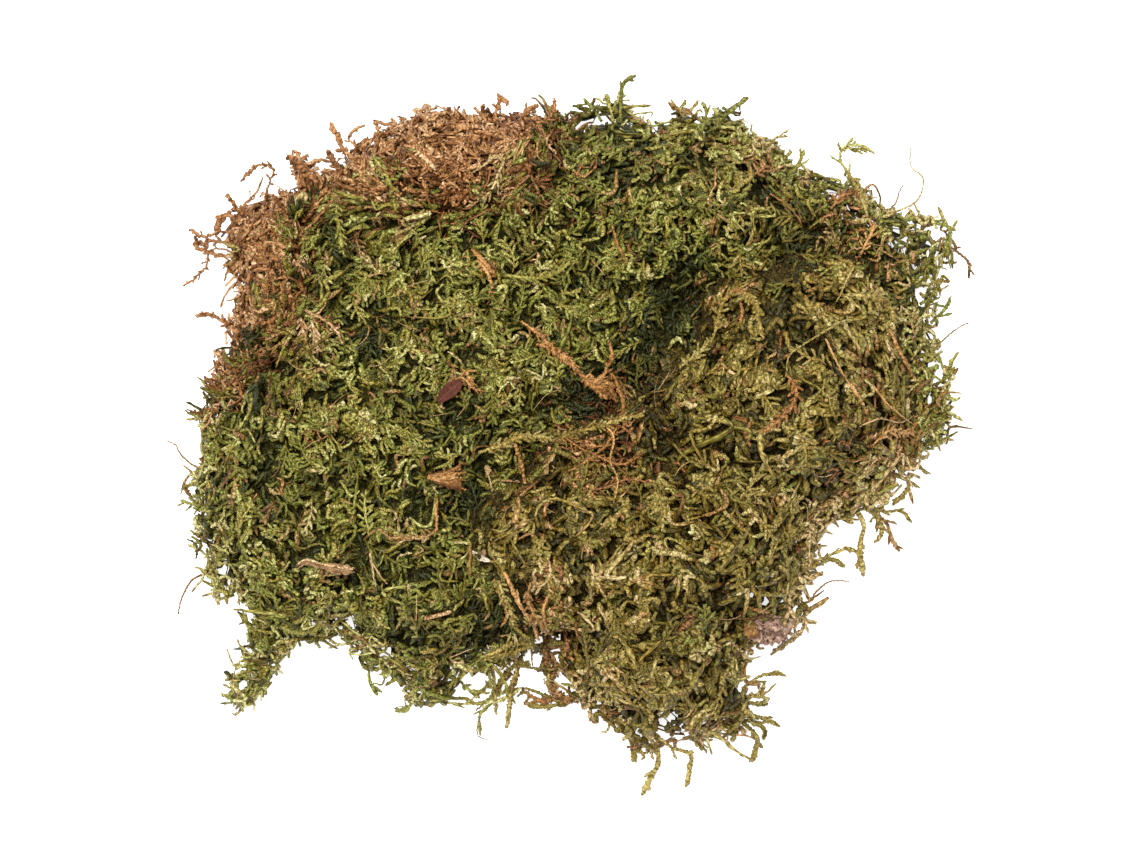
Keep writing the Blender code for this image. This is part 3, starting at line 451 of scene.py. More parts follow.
def grained_material(name, colours, width, roughness=0.85, bump_height=0.3 * MM, glow=0.0):
    """A matte material with a fine, blotchy grain of this width in these colours, light over dark."""
    made, tree, shader = new_material(name, roughness, gloss=0.1)
    shader.inputs["Emission Color"].default_value = (1, 1, 1, 1)
    shader.inputs["Emission Strength"].default_value = glow
    place = tree.nodes.new("ShaderNodeTexCoord")
    grain = add_node(tree, "TexNoise", {
        "Scale": 1 / width, "Detail": 4, "Distortion": 1.5, "Vector": place.outputs["Object"],
    })
    stops = list(zip(np.linspace(0.32, 0.68, len(colours)).tolist(), colours))
    tree.links.new(ramp(tree, grain.outputs["Fac"], stops), shader.inputs["Base Color"])
    add_bump(tree, shader, grain.outputs["Fac"], 0.6, bump_height)
    return made


# Each palette's tints: their place from 0 to 1, and the colour there as it looks on screen, 0 to 255.
TINTS = {
    "green": [
        (0.0, 46, 49, 22), (0.14, 68, 72, 30), (0.28, 106, 99, 42), (0.42, 121, 125, 54),
        (0.54, 149, 139, 68), (0.64, 162, 161, 90), (0.77, 188, 180, 122),
        (0.86, 152, 126, 76), (0.94, 124, 92, 52), (1.0, 84, 58, 32),
    ],
    "olive": [
        (0.0, 50, 44, 18), (0.14, 70, 66, 28), (0.28, 106, 90, 38), (0.42, 120, 111, 50),
        (0.54, 147, 127, 64), (0.64, 158, 146, 84), (0.77, 182, 162, 112),
        (0.86, 154, 120, 72), (0.94, 128, 90, 50), (1.0, 88, 58, 32),
    ],
    "brown": [
        (0.0, 84, 51, 24), (0.3, 130, 90, 54), (0.55, 166, 121, 79), (0.75, 190, 150, 108),
        (0.9, 204, 175, 140), (1.0, 126, 118, 64),
    ],
    "wire": [
        (0.0, 88, 60, 36), (0.4, 140, 108, 70), (0.7, 182, 152, 108), (1.0, 214, 194, 154),
    ],
    "rust": [
        (0.0, 88, 55, 27), (0.4, 149, 107, 61), (0.7, 187, 146, 93), (1.0, 215, 183, 134),
    ],
    "straw": [(0.0, 104, 76, 52), (0.5, 168, 132, 94), (1.0, 214, 186, 146)],
    "red_leaf": [(0.0, 64, 34, 26), (0.5, 112, 66, 54), (1.0, 168, 126, 106)],
    "pale": [(0.0, 176, 132, 92), (0.5, 222, 200, 160), (1.0, 244, 230, 200)],
}
LIVING = ("green", "olive", "pale")
materials = {}
for name, tints in TINTS.items():
    shading = (ROOT_TONE_SHADE_TIP_LIGHT, LEAF_HIGHLIGHT_SHADE) if name in LIVING else (DRY_ROOT_TONE_SHADE_TIP_LIGHT, DRY_LEAF_HIGHLIGHT_SHADE)
    stops = [(place, srgb(*colour)) for place, *colour in tints]
    materials[name] = shoot_material(f"{name}_moss", stops, *shading)
FRAY = {"brown": 0.6}  # how rough a palette's shoots are, if not as rough as the others


# ---------------------------------------------------------------- meshes


def add_object(name, data):
    """A new object in the scene."""
    made = bpy.data.objects.new(name, data)
    bpy.context.scene.collection.objects.link(made)
    return made


def mesh_object(name, points, triangles, uvs=None):
    """A mesh of triangles, with a UV map that its material reads."""
    points[:, 2] = np.maximum(points[:, 2], FLOOR_GAP)
    mesh = bpy.data.meshes.new(name)
    mesh.vertices.add(len(points))
    mesh.vertices.foreach_set("co", points.astype(np.float32).ravel())
    mesh.loops.add(triangles.size)
    mesh.loops.foreach_set("vertex_index", triangles.astype(np.int32).ravel())
    mesh.polygons.add(len(triangles))
    mesh.polygons.foreach_set("loop_start", np.arange(0, triangles.size, 3, dtype=np.int32))
    if uvs is not None:
        layer = mesh.uv_layers.new(name="OFBake")
        layer.data.foreach_set("uv", uvs[triangles.ravel()].astype(np.float32).ravel())
    mesh.update()
    mesh.validate()
    return add_object(name, mesh)


def piece(name, sets, palette, replaced=()):
    """A shown piece of the clump, from sets of (points, triangles, uvs), in one of the palettes."""
    made = mesh_object(name, *joined(sets))
    made.data.materials.append(materials[palette])
    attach(made, "root")
    if replaced:
        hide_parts(*replaced)
    return made


def tube_faces(rings, sides):
    """The triangles of one shoot, whose rings are turned alternately by half a side."""
    found = []
    for ring in range(rings - 1):
        here, there = ring * sides, (ring + 1) * sides
        for k in range(sides):
            a, b = here + k, here + (k + 1) % sides
            if ring % 2 == 0:
                c, d = there + k, there + (k - 1) % sides
            else:
                c, d = there + (k + 1) % sides, there + k
            found += [(a, b, c), (a, c, d)]
    last = (rings - 1) * sides
    found += [(last + k, last + (k + 1) % sides, rings * sides) for k in range(sides)]
    found += [(0, k + 1, k) for k in range(1, sides - 1)]
    return np.array(found)


def tubes(paths, radii, tint, rng, sides=3, fray=0.3):
    """Leafy shoots along paths (N, rings, 3), with a radius at each ring (N, rings). Every ring is turned
    against the one before it, so that the leaves lie like a plait. Returns points, triangles and UVs: u is
    the shoot's tint, and v runs from 0 at its root to 1 at its tip, or comes and goes along a long stem."""
    count, rings = paths.shape[:2]
    is_long = rings > 16
    along = unit(np.gradient(paths, axis=1))
    across = unit(np.cross(along, unit(rng.normal(size=(count, 1, 3)))))
    third = np.cross(along, across)
    step = 2 * math.pi / sides
    turned = np.arange(sides)[None, :] * step + (np.arange(rings) % 2)[:, None] * step / 2
    size = radii[..., None] * (1 + fray * rng.uniform(-1, 1, (count, rings, sides)))
    cosines, sines = np.cos(turned)[None, ..., None], np.sin(turned)[None, ..., None]
    offsets = cosines * across[:, :, None] + sines * third[:, :, None]
    points = paths[:, :, None] + offsets * size[..., None]
    tips = paths[:, -1] + along[:, -1] * radii[:, -1:] * 0.8
    points = np.concatenate([points.reshape(count, rings * sides, 3), tips[:, None]], axis=1)
    each = rings * sides + 1
    triangles = (tube_faces(rings, sides)[None] + (np.arange(count) * each)[:, None, None]).reshape(-1, 3)
    # v carries the browner, painted-shade root colour and the painted highlight at the tip; along a long stem
    # it comes and goes, so that painted shade rises and falls along it.
    v = 0.62 + 0.32 * np.sin(0.2 * np.arange(rings)) if is_long else np.linspace(0.02, 0.95, rings)
    v = np.append(np.repeat(v, sides), 0.99)
    wander = 0.004 * rng.uniform(-1, 1, (count, rings, 1)) * is_long
    spread = (wander + np.linspace(-0.012, 0.012, sides)).reshape(count, rings * sides)
    u = np.clip(tint[:, None] + np.append(spread, np.zeros((count, 1)), axis=1), 0.003, 0.997)
    uvs = np.stack([u, np.broadcast_to(v, u.shape)], axis=-1)
    return points.reshape(-1, 3), triangles, uvs.reshape(-1, 2)


def joined(sets):
    """Several (points, triangles, uvs) as one."""
    points, triangles, uvs, first = [], [], [], 0
    for some_points, some_triangles, some_uvs in sets:
        points.append(some_points)
        triangles.append(some_triangles + first)
        uvs.append(some_uvs)
        first += len(some_points)
    return np.vstack(points), np.vstack(triangles), np.vstack(uvs)


# ---------------------------------------------------------------- shoots

LEAFY = ([0, 0.25, 0.6, 0.85, 1], [0.5, 0.88, 1.0, 0.9, 0.58])
WIRY = ([0, 1], [1.0, 0.5])
ROUND = ([0, 1], [1.0, 1.0])
FREE = ([0, 0.3, 0.65, 0.88, 1], [0.85, 0.6, 0.85, 1.05, 0.5])


def ring_radii(count, rings, radius, shape=LEAFY, waist=0.7):
    """Ring radii of shoots: `shape` from root to tip, and narrower between two tiers of leaves."""
    profile = np.interp(np.linspace(0, 1, rings), *shape)
    tiers = np.where(np.arange(rings) % 2, 1.0, waist)
    return np.broadcast_to(radius, count)[:, None] * (profile * tiers)[None]


def lie_along(normals, headings):
    """Directions in the surface that head this way round."""
    side = unit(np.cross(normals, np.array([0.31, 0.17, 0.94])))
    other = np.cross(normals, side)
    return np.cos(headings)[:, None] * side + np.sin(headings)[:, None] * other


def shoot_lines(tips, axes, ups, rings, length, bend, wave, droop):
    """Centre lines of shoots, from the root to the tip. `axes` is the way the tip points, `bend` curves the
    shoot sideways, `wave` makes it sinuous and `droop` sinks its root."""
    q = np.linspace(1, 0, rings)[None, :, None]
    axes = axes[:, None]
    side = unit(np.cross(ups[:, None], axes))
    length, bend, wave, droop = (
        np.broadcast_to(values, len(tips))[:, None, None] for values in (length, bend, wave, droop)
    )
    sideways = bend * (q**2 * 0.5 + (1 - q) ** 3 * 0.25) + wave * 0.12 * np.sin(2 * math.pi * q)
    return tips[:, None] - axes * length * q + side * length * sideways - ups[:, None] * length * droop * q**2


def near_sprigs(points, reach=0.12):
    """Which points lie on a free shoot, or within reach of it in millimetres, rather than on the turf."""
    found = np.zeros(len(points), bool)
    for _, radius, line in SPRIGS.values():
        line = np.array(line) * MM
        for a, b in zip(line[:-1], line[1:]):
            run = b - a
            share = np.clip((points - a) @ run / (run @ run), 0, 1)
            gap = np.linalg.norm(points - a - share[:, None] * run, axis=1)
            found |= gap < (radius + reach) * MM
    return found


def facing_weights(node):
    """How many shoots each CAD face gets: none on the underside or deep under another turf."""
    downward, deep_under = -0.35, 5 * MM
    surface = surfaces[node]
    weights = np.where(surface.face_normals[:, 2] < downward, 0.0, 1.0)
    middles = surface.points[surface.faces].mean(axis=1) + surface.face_normals * 0.2 * MM
    if node == "green_turf":
        weights[covered(middles, "olive_turf", deep_under)] = 0
    return weights


# Lengths, radii and frizz in millimetres, angles in radians, tints by their place in the turf's colours.
LOOKS = {
    "green": {
        "flow": 1.7, "spread": 0.45, "length": (2.8, 6.4), "radius": (0.54, 1.0), "bend": 1.6, "wave": 1.3,
        "tint": 0.45, "patch": 0.03, "tuft": 0.13, "mottle": 0.14, "dead": 0.07, "frizz": 0.07, "edge": 0.9,
        "comb": 5,
    },
    "olive": {
        "flow": 1.7, "spread": 0.5, "length": (3.2, 7.0), "radius": (0.6, 1.34), "bend": 1.8, "wave": 1.4,
        "tint": 0.45, "patch": 0.03, "tuft": 0.15, "mottle": 0.16, "dead": 0.07, "frizz": 0.07, "edge": 0.9,
        "comb": 4,
    },
    "brown": {
        "flow": 2.4, "spread": 1.1, "length": (2.6, 6.4), "radius": (0.48, 0.95), "bend": 2.6, "wave": 2.6,
        "tint": 0.56, "patch": 0.03, "tuft": 0.2, "mottle": 0.2, "dead": 0.0, "frizz": 0.2, "edge": 0.5,
        "comb": 2,
    },
}
# Places where the shoots are darker or lighter than the rest of their turf: x, y, radius, how much. The
# darker ones are painted shade in the hollows; the lighter ones are lighter tufts, partly their own tone and
# partly painted light on the raised ones.
PAINTED_SHADE_LIGHT_TONE = [
    (28, 32, 10, -0.34), (20, 19, 8, -0.26), (7, 8, 8, -0.22), (-11, -6, 6, -0.08), (66, 50, 12, -0.2),
    (89, 46, 8, -0.1), (52, 58, 8, -0.1), (-72, 48, 7, -0.04), (-22, -50, 9, -0.2), (-27, -21, 8, -0.2),
    (9, -4, 10, -0.04), (55, -4, 7, -0.1), (-80, -42, 7, -0.08), (-44, 83, 8, -0.14), (15, 80, 14, -0.1),
    (-91, -13, 8, -0.14), (39, 67, 8, -0.1), (-26, 5, 10, -0.13), (54, 27, 7, -0.2), (69, -2, 8, -0.22),
    (5, -29, 6, -0.1), (-60, -41, 6, -0.05), (-43, -56, 7, -0.06), (22, -67, 6, -0.06), (74, 39, 9, 0.34),
    (84, 24, 6, 0.14), (86, -8, 8, 0.18), (-35, 36, 9, 0.02), (24, -18, 10, 0.16), (18, -40, 9, 0.12),
    (-69, 26, 7, 0.24), (-86, 52, 8, 0.04), (-81, 60, 8, -0.1), (40, 38, 6, 0.24), (-30, 74, 9, 0.06),
    (-45, 15, 9, 0.08), (-62, 13, 10, 0.14), (-95, 2, 6, 0.04), (97, 28, 9, 0.12), (101, 12, 7, 0.1),
    (98, 54, 6, 0.16), (-41, 54, 9, 0.24), (-9, 48, 11, 0.22), (-44, -8, 11, 0.14), (38, 4, 9, 0.12),
    (87, 8, 10, 0.24), (0, -46, 12, 0.13), (-11, 14, 7, 0.2), (-50, 67, 11, 0.22), (-12, 67, 8, 0.22),
    (22, 42, 6, 0.28), (-71, -27, 10, 0.17), (58, -20, 12, 0.13), (39, -57, 9, 0.12), (38, -71, 7, 0.08),
    (-9, -27, 7, 0.12), (-76, 54, 8, 0.12),
]
MIXING = {  # how far, in millimetres, another turf's moss reaches across the seam with it
    "green": (("brown", 10), ("olive", 8)), "brown": (("green", 8),), "olive": (("green", 7),),
}


def near_places(at, places):
    """How near, from 0 to 1, each point is to a place given as x, y, radius in millimetres."""
    x, y, radius = places
    return np.exp(-(plan_distance(at, (x, y)) / (radius * MM)) ** 2)


def palettes_at(at, label, rng):
    """Whose moss each shoot is: turfs mix along their seams, and there are patches of one in another."""
    palette = np.full(len(at), label, dtype=object)
    for other, reach in MIXING[label]:
        tree = surfaces[f"{other}_turf"].tree
        gap = np.array([tree.find_nearest(Vector(p))[3] for p in at]) / (reach * MM)
        pull = 0.8 * noise(at, *SEAM_FIELD) + rng.normal(0, 0.3, len(at))
        palette[pull > 1.4 * gap - 0.1] = other
    for x, y, radius, amount, other in PATCHES:
        palette[rng.random(len(at)) < amount * near_places(at, (x, y, radius))] = other
    return palette


def tints_at(at, palette, depth, rng):
    """Each shoot's tint: patches, tufts and single shoots differ, deep ones are darker as painted shade, and
    some are dead.
    """
    tint = np.zeros(len(at))
    patch, tuft = noise(at, *PATCH_FIELD), noise(at, *TUFT_FIELD)
    for label, look in LOOKS.items():
        found = look["tint"] + look["patch"] * patch + look["tuft"] * tuft
        found += rng.normal(0, look["mottle"], len(at))
        # Painted shade in the hollows; lighter tufts, partly their own tone and partly painted light.
        for x, y, radius, amount in PAINTED_SHADE_LIGHT_TONE:
            found += amount * near_places(at, (x, y, radius))
        # Painted shade: each millimetre deeper takes 0.1 off the tint, toward the dark end of the palette.
        found = np.clip(found + 0.04 - 0.1 * depth / MM, 0.02, 0.8)
        dead = rng.random(len(at)) < look["dead"]
        found[dead] = rng.uniform(0.82, 0.97, dead.sum())
        tint[palette == label] = found[palette == label]
    return tint


# How deep the tips are, in millimetres, how far they stand up, in radians, how large the shoots are, how many
# rings they have, how much they curl, how many grow side by side, and how many millimetres deeper their
# painted shade is than they are.
LAYERS = {
    "top": {"depth": (0.1, 2.0), "rise": 0.4, "long": 1.0, "thick": 1.0, "rings": 8, "curl": 1.0, "comb": 5},
    "long": {"depth": (0.0, 0.7), "rise": 0.15, "long": 1.7, "thick": 0.9, "rings": 14, "curl": 1.2},
    "under": {"depth": (2.0, 4.0), "rise": 0.4, "long": 1.1, "thick": 1.2, "rings": 3, "curl": 0.3},
    "deep": {"depth": (1.4, 3.4), "rise": 0.5, "long": 0.8, "thick": 1.1, "rings": 7, "curl": 1.0},
    "core": {
        "depth": (-1.4, -0.3), "rise": 0.5, "long": 0.75, "thick": 1.1, "rings": 4, "curl": 0.8, "dim": 3.6,
    },
}
SUNK_BETWEEN_TUFTS = 2.2  # millimetres that tips are sunk where the clumping noise is at -1
DEEPEST = 5.5  # millimetres under the surface: no tip is deeper
CLEARANCE = 0.35  # millimetres between a gap and the shoots beside it
SPRIG_ROOM = 0.5  # millimetres around a free shoot where no other shoot grows
CRUMBLED = 0.62  # how thick a brown shoot is outside the brown turf, beside one in it


def shoots(label, at, palette, lines, radius, depth, rng):
    """A group of shoots that have the same number of rings, without those that cross a gap."""
    crumbly = (palette == "brown") & (label != "brown")
    radius = radius * np.where(crumbly, CRUMBLED, 1.0)
    lines = lines + rng.normal(0, 0.2 * MM, lines.shape) * crumbly[:, None, None]
    keep = np.ones(len(at), bool)
    for x, y, reach in [*GAPS, *FREE_PLACES, *edge_gaps]:
        keep &= plan_distance(lines, (x, y)).min(axis=1) > (reach + CLEARANCE) * MM
    radii = ring_radii(len(at), lines.shape[1], radius)
    tint = tints_at(at, palette, depth, rng)
    return {
        "paths": lines[keep], "radii": radii[keep], "tint": tint[keep], "palette": palette[keep], "rng": rng,
    }


def inside(lines):
    """Which shoots lie wholly within the outline of the clump, seen from above."""
    return np.array([all(top_at(x, y)[1] for x, y, _ in line) for line in lines])


def in_combs(at, up, node, look, rise, comb, rng):
    """The shoots at these places, each grown into a comb of a few side by side, which head and bend alike."""
    heading = look["flow"] * math.pi * noise(at, *HEADING_FIELD) + rng.normal(0, look["spread"], len(at))
    bend, rise = rng.normal(0, look["bend"], len(at)), rng.normal(0.05, rise, len(at))
    wave = rng.normal(0, look["wave"], len(at))
    at, up, heading, bend, rise, wave = (
        np.repeat(values, comb, axis=0) for values in (at, up, heading, bend, rise, wave)
    )
    count = len(at)
    place = np.tile(np.arange(comb) - comb / 2, count // comb) * rng.uniform(0.9, 1.4, count) * MM
    ahead = lie_along(up, heading)
    stagger = rng.normal(0, 0.8 * MM * (comb > 1), count)
    at = at + np.cross(up, ahead) * place[:, None] + ahead * stagger[:, None]
    if comb > 1:
        at, up = surfaces[node].nearest(at)
    keep = ~near_sprigs(at, SPRIG_ROOM)
    return (values[keep] for values in (at, up, heading, bend, rise, wave))


def tip_depths(at, rules, layer, rng):
    """How deep each tip lies, in millimetres: shoots are sunk in the hollows and between the tufts."""
    gap = sum(share * noise(at, width, seed) for share, width, seed in CLUMPING_FIELDS)
    depth = rng.uniform(*rules["depth"], len(at)) + np.maximum(0, -gap) * SUNK_BETWEEN_TUFTS
    if layer == "core":
        return rng.uniform(*rules["depth"], len(at))
    for x, y, reach, sunk in HOLLOWS:
        depth += sunk * near_places(at, (x, y, reach))
    return np.minimum(depth, DEEPEST)


def cover(label, seed, count, layer):
    """Shoots all over a turf, in one of its layers."""
    look, rules = LOOKS[label], LAYERS[layer]
    rng = np.random.default_rng(seed)
    node, comb = f"{label}_turf", min(look["comb"], rules.get("comb", 1))
    if layer == "core":
        at, up = cores[label].scatter(count, rng, (cores[label].face_normals[:, 2] > 0.2).astype(float))
    else:
        at, up = surfaces[node].scatter(count // comb, rng, facing_weights(node))
    keep = ~near_sprigs(at, SPRIG_ROOM)
    at, up, heading, bend, rise, wave = in_combs(at[keep], up[keep], node, look, rules["rise"], comb, rng)
    count = len(at)
    length = rng.uniform(*look["length"], count) * rules["long"] * MM
    radius = rng.uniform(*look["radius"], count) * rules["thick"] * MM
    depth = tip_depths(at, rules, layer, rng) * MM
    rise = np.clip(np.abs(rise + rng.normal(0, 0.15, count)), 0, 1.25)[:, None]
    axes = np.cos(rise) * lie_along(up, heading + rng.normal(0, 0.26, count)) + np.sin(rise) * up
    bend = np.clip(bend + rng.normal(0, 0.6, count), -2.4, 2.4) * rules["curl"]
    wave = (wave + rng.normal(0, 0.6, count)) * rules["curl"]
    droop = rng.uniform(0, 0.25, count)
    lines = shoot_lines(at - up * depth[:, None], axes, up, rules["rings"], length, bend, wave, droop)
    lines += rng.normal(0, look["frizz"] * MM, lines.shape)
    if rules["rings"] < 8:
        keep = inside(lines)
        at, lines, radius, depth = (values[keep] for values in (at, lines, radius, depth))
    # Painted shade: core shoots are darkened as if they lay `dim` millimetres deeper.
    depth = depth + rules.get("dim", 0) * MM
    return shoots(label, at, palettes_at(at, label, rng), lines, radius, depth, rng)


def free_sides(node):
    """Which faces of a turf are at its free edge, low down and with no other turf beside them."""
    level, edge_height, beside = 0.85, 15 * MM, 2.5 * MM
    surface = surfaces[node]
    middles = surface.points[surface.faces].mean(axis=1)
    free = (np.abs(surface.face_normals[:, 2]) < level) & (middles[:, 2] < edge_height)
    outside = middles + surface.face_normals * beside
    for other in TURFS:
        if other != node:
            tree = surfaces[other].tree
            for way in (UP, DOWN):
                free &= np.array([tree.ray_cast(Vector(p), way)[0] is None for p in outside])
    return free


def edge_places(label, seed, each_mm):
    """Places along a turf's free edge, this many for each millimetre of it, and the way out at each."""
    side_height = 9 * MM
    rng = np.random.default_rng(seed)
    surface = surfaces[f"{label}_turf"]
    free = free_sides(f"{label}_turf")
    edge = surface.areas[free].sum() / side_height
    at, out = surface.scatter(int(edge / MM * each_mm), rng, free.astype(float))
    keep = ~near_sprigs(at)
    return at[keep], unit(out[keep] * np.array([1, 1, 0.3])), rng


edge_gaps = []  # small gaps along the free edge, as x, y, radius in millimetres
for i, label in enumerate(("green", "olive")):
    at, out, rng = edge_places(label, EDGE_GAP_SEED + i, 0.08)
    at = at - out * rng.uniform(0.5, 4.5, len(at))[:, None] * MM
    edge_gaps += [(x, y, size) for (x, y, _), size in zip(at / MM, rng.uniform(0.2, 0.8, len(at)))]


def fringe(label, seed, each_mm, loose=False):
    """Shoots that stand out from a turf's free edge. Loose ones are long and reach further."""
    look = LOOKS[label]
    at, out, rng = edge_places(label, seed, each_mm)
    count = len(at)
    upright = np.broadcast_to(np.array([0, 0, 1.0]), (count, 3))
    sideways = np.cross(upright, out)
    yaw, pitch = rng.normal(0, 0.75, count)[:, None], rng.normal(0.05, 0.35, count)[:, None]
    axes = unit(np.cos(yaw) * out + np.sin(yaw) * sideways + np.sin(pitch) * upright)
    if loose:
        reach, length = rng.uniform(0.5, 3.4, count), rng.uniform(6, 11, count) * look["edge"]
    else:
        reach = rng.uniform(-0.8, 0.8, count)
        reach += 1.8 * np.maximum(0, noise(at, *EDGE_FIELD) + rng.normal(0, 0.3, count))
        length = rng.uniform(3.5, 7.0, count) * look["edge"]
    tips = at + axes * (reach * MM)[:, None]
    lines = shoot_lines(
        tips, axes, upright, 14 if loose else 8, length * MM, rng.normal(0, look["bend"], count),
        rng.normal(0, look["wave"] * (1.6 if loose else 1.2), count), rng.normal(0, 0.12, count),
    )
    lines += rng.normal(0, look["frizz"] * MM, lines.shape)
    radius = rng.uniform(*look["radius"], count) * (0.75 if loose else 0.9) * MM
    # A depth of -2 mm turns the painted shade of depth into painted light: the edge shoots come out lighter.
    return shoots(label, at, palettes_at(at, label, rng), lines, radius, np.full(count, -2 * MM), rng)


MOST_TRIANGLES = 185_000  # in one piece


def shoot_pieces(palette, groups):
    """Makes the shoots of one palette into pieces of about equal size, side by side along X."""
    chosen = []
    for group in groups:
        own = group["palette"] == palette
        chosen.append((group["paths"][own], group["radii"][own], group["tint"][own], group["rng"]))
    weights = [np.full(len(paths), len(tube_faces(paths.shape[1], 3))) for paths, *_ in chosen]
    places = np.concatenate([paths[:, -1, 0] for paths, *_ in chosen])
    order = np.argsort(places, kind="stable")
    share = np.cumsum(np.concatenate(weights)[order])
    parts = math.ceil(share[-1] / MOST_TRIANGLES)
    cuts = [places[order][np.searchsorted(share, share[-1] * k / parts)] for k in range(1, parts)]
    for i, (low, high) in enumerate(itertools.pairwise([-1, *cuts, 1]), 1):
        sets = []
        for paths, radii, tint, rng in chosen:
            here = (paths[:, -1, 0] >= low) & (paths[:, -1, 0] < high)
            sets.append(tubes(paths[here], radii[here], tint[here], rng, fray=FRAY.get(palette, 0.3)))
        piece(f"{palette}_shoots_{i}", sets, palette)


# ---------------------------------------------------------------- cores


def height_grid(node, step):
    """Plan grid of a turf: x, y, its top and its underside, nan outside it, and the top of all the turfs."""
    surface = surfaces[node]
    low, high = surface.points.min(0), surface.points.max(0)
    xs = np.arange(low[0] - 4 * step, high[0] + 5 * step, step)
    ys = np.arange(low[1] - 4 * step, high[1] + 5 * step, step)
    top = np.full((len(xs), len(ys)), np.nan)
    bottom, whole = top.copy(), top.copy()
    for i, x in enumerate(xs):
        for j, y in enumerate(ys):
            height, owner = top_at(x, y)
            if owner:
                whole[i, j] = height
            hit = surface.above(x, y)
            if hit:
                top[i, j] = hit.z
                bottom[i, j] = surface.tree.ray_cast(Vector((x, y, -1)), UP)[0].z
    return xs, ys, top, bottom, whole


def eroded(heights, step, radius):
    """The height field shrunk inwards by a ball of this radius; nan where nothing is left."""
    cells = int(radius / step)
    padded = np.pad(np.nan_to_num(heights, nan=-1.0), cells, constant_values=-1.0)
    rows, columns = heights.shape
    result = np.full(heights.shape, 1.0)
    for i in range(-cells, cells + 1):
        for j in range(-cells, cells + 1):
            flat = (i * i + j * j) * step * step
            if flat > radius * radius:
                continue
            window = padded[cells + i:cells + i + rows, cells + j:cells + j + columns]
            result = np.minimum(result, window - math.sqrt(radius * radius - flat))
    return np.where(result > -0.5, result, np.nan)


def closed(heights):
    """The height field, filled where a cell falls in the narrow seam between two turfs."""
    either = [(np.roll(heights, 1, axis) + np.roll(heights, -1, axis)) / 2 for axis in (0, 1)]
    return np.where(np.isnan(heights), np.fmax(*either), heights)


def widened(heights, whole):
    """The height field, one cell wider where it goes on under another turf."""
    beside = np.fmax.reduce([np.roll(heights, way, axis) for way in (1, -1) for axis in (0, 1)])
    return np.where(np.isnan(heights) & ~np.isnan(whole), beside, heights)


def core_heights(label, seed, inset, step):
    """Plan grid of a turf's core: x, y, its top, its underside, and which cells it fills. It lies `inset`
    below the surface of the clump, and is a thin sheet where the turf is too thin for that."""
    thin_inset, thin_height, least_cover, floor_room = 4.2 * MM, 2.0 * MM, 2.0 * MM, 0.4 * MM
    xs, ys, top, bottom, whole = height_grid(f"{label}_turf", step)
    whole = closed(whole)
    top, bottom = (widened(widened(closed(heights), whole), whole) for heights in (top, bottom))
    top = np.minimum(top, whole)
    bottom = np.minimum(bottom, top - 3.5 * MM)
    thin = np.where(np.isnan(eroded(whole, step, thin_inset)), np.nan, np.nan_to_num(bottom) + thin_height)
    high = np.minimum(np.fmax(eroded(whole, step, inset), thin), top - least_cover)
    grid = np.stack(np.meshgrid(xs, ys, indexing="ij"), axis=-1)
    flat = np.concatenate([grid.reshape(-1, 2), np.zeros((grid.size // 2, 1))], axis=1)
    high = high + 0.9 * MM * noise(flat, 4 * MM, seed).reshape(high.shape)
    low = np.maximum(bottom + floor_room, floor_room)
    solid = ~np.isnan(high) & ~np.isnan(low)
    for x, y, radius in GAPS:
        solid &= plan_distance(grid, (x, y)) > (radius + 0.9) * MM
    full = solid[:-1, :-1] & solid[1:, :-1] & solid[:-1, 1:] & solid[1:, 1:]
    return xs, ys, np.maximum(high, low + 0.6 * MM), low, full


def slab(name, xs, ys, high, low, full):
    """A closed mesh between two height fields, over the cells that are full."""
    build = bmesh.new()
    above, below = {}, {}
    for i, j in np.argwhere(full):
        for a, b in ((i, j), (i + 1, j), (i + 1, j + 1), (i, j + 1)):
            if (a, b) not in above:
                above[a, b] = build.verts.new((xs[a], ys[b], high[a, b]))
                below[a, b] = build.verts.new((xs[a], ys[b], low[a, b]))
    for i, j in np.argwhere(full):
        ring = [(i, j), (i + 1, j), (i + 1, j + 1), (i, j + 1)]
        build.faces.new([above[c] for c in ring])
        build.faces.new([below[c] for c in reversed(ring)])
        neighbours = [(i, j - 1), (i + 1, j), (i, j + 1), (i - 1, j)]
        for k, (a, b) in enumerate(neighbours):
            if not (0 <= a < full.shape[0] and 0 <= b < full.shape[1] and full[a, b]):
                p, q = ring[k], ring[(k + 1) % 4]
                build.faces.new([above[q], above[p], below[p], below[q]])
    mesh = bpy.data.meshes.new(name)
    build.to_mesh(mesh)
    build.free()
    mesh.shade_smooth()
    return mesh


def core(label, seed, inset, colours):
    """The mass of old stems inside a turf, coloured dark: partly their own colour and partly painted shade of
    the deep gaps between the shoots.
    """
    made = add_object(f"{label}_core", slab(f"{label}_core", *core_heights(label, seed, inset, 2 * MM)))
    tones = [srgb(*colour) for colour in colours]
    made.data.materials.append(grained_material(f"{label}_core", tones, 0.8 * MM, 0.9, 0.6 * MM))
    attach(made, "root")
    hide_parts(f"{label}_turf")
    return made


# ---------------------------------------------------------------- single stems, fronds and blades


def smooth_line(points, step):
    """Points at about this spacing on a smooth (Catmull-Rom) curve through `points`."""
    padded = np.vstack([points[:1], points, points[-1:]])
    found = []
    for a, b, c, d in zip(padded, padded[1:], padded[2:], padded[3:]):
        t = np.linspace(0, 1, max(1, round(np.linalg.norm(c - b) / step)), endpoint=False)[:, None]
        square, cube = 2 * a - 5 * b + 4 * c - d, 3 * b - a - 3 * c + d
        found.append(0.5 * (2 * b + (c - a) * t + square * t**2 + cube * t**3))
    return np.vstack([*found, points[-1:]])


def distances(line):
    """How far along a line each of its points is."""
    return np.concatenate([[0], np.cumsum(np.linalg.norm(np.diff(line, axis=0), axis=1))])


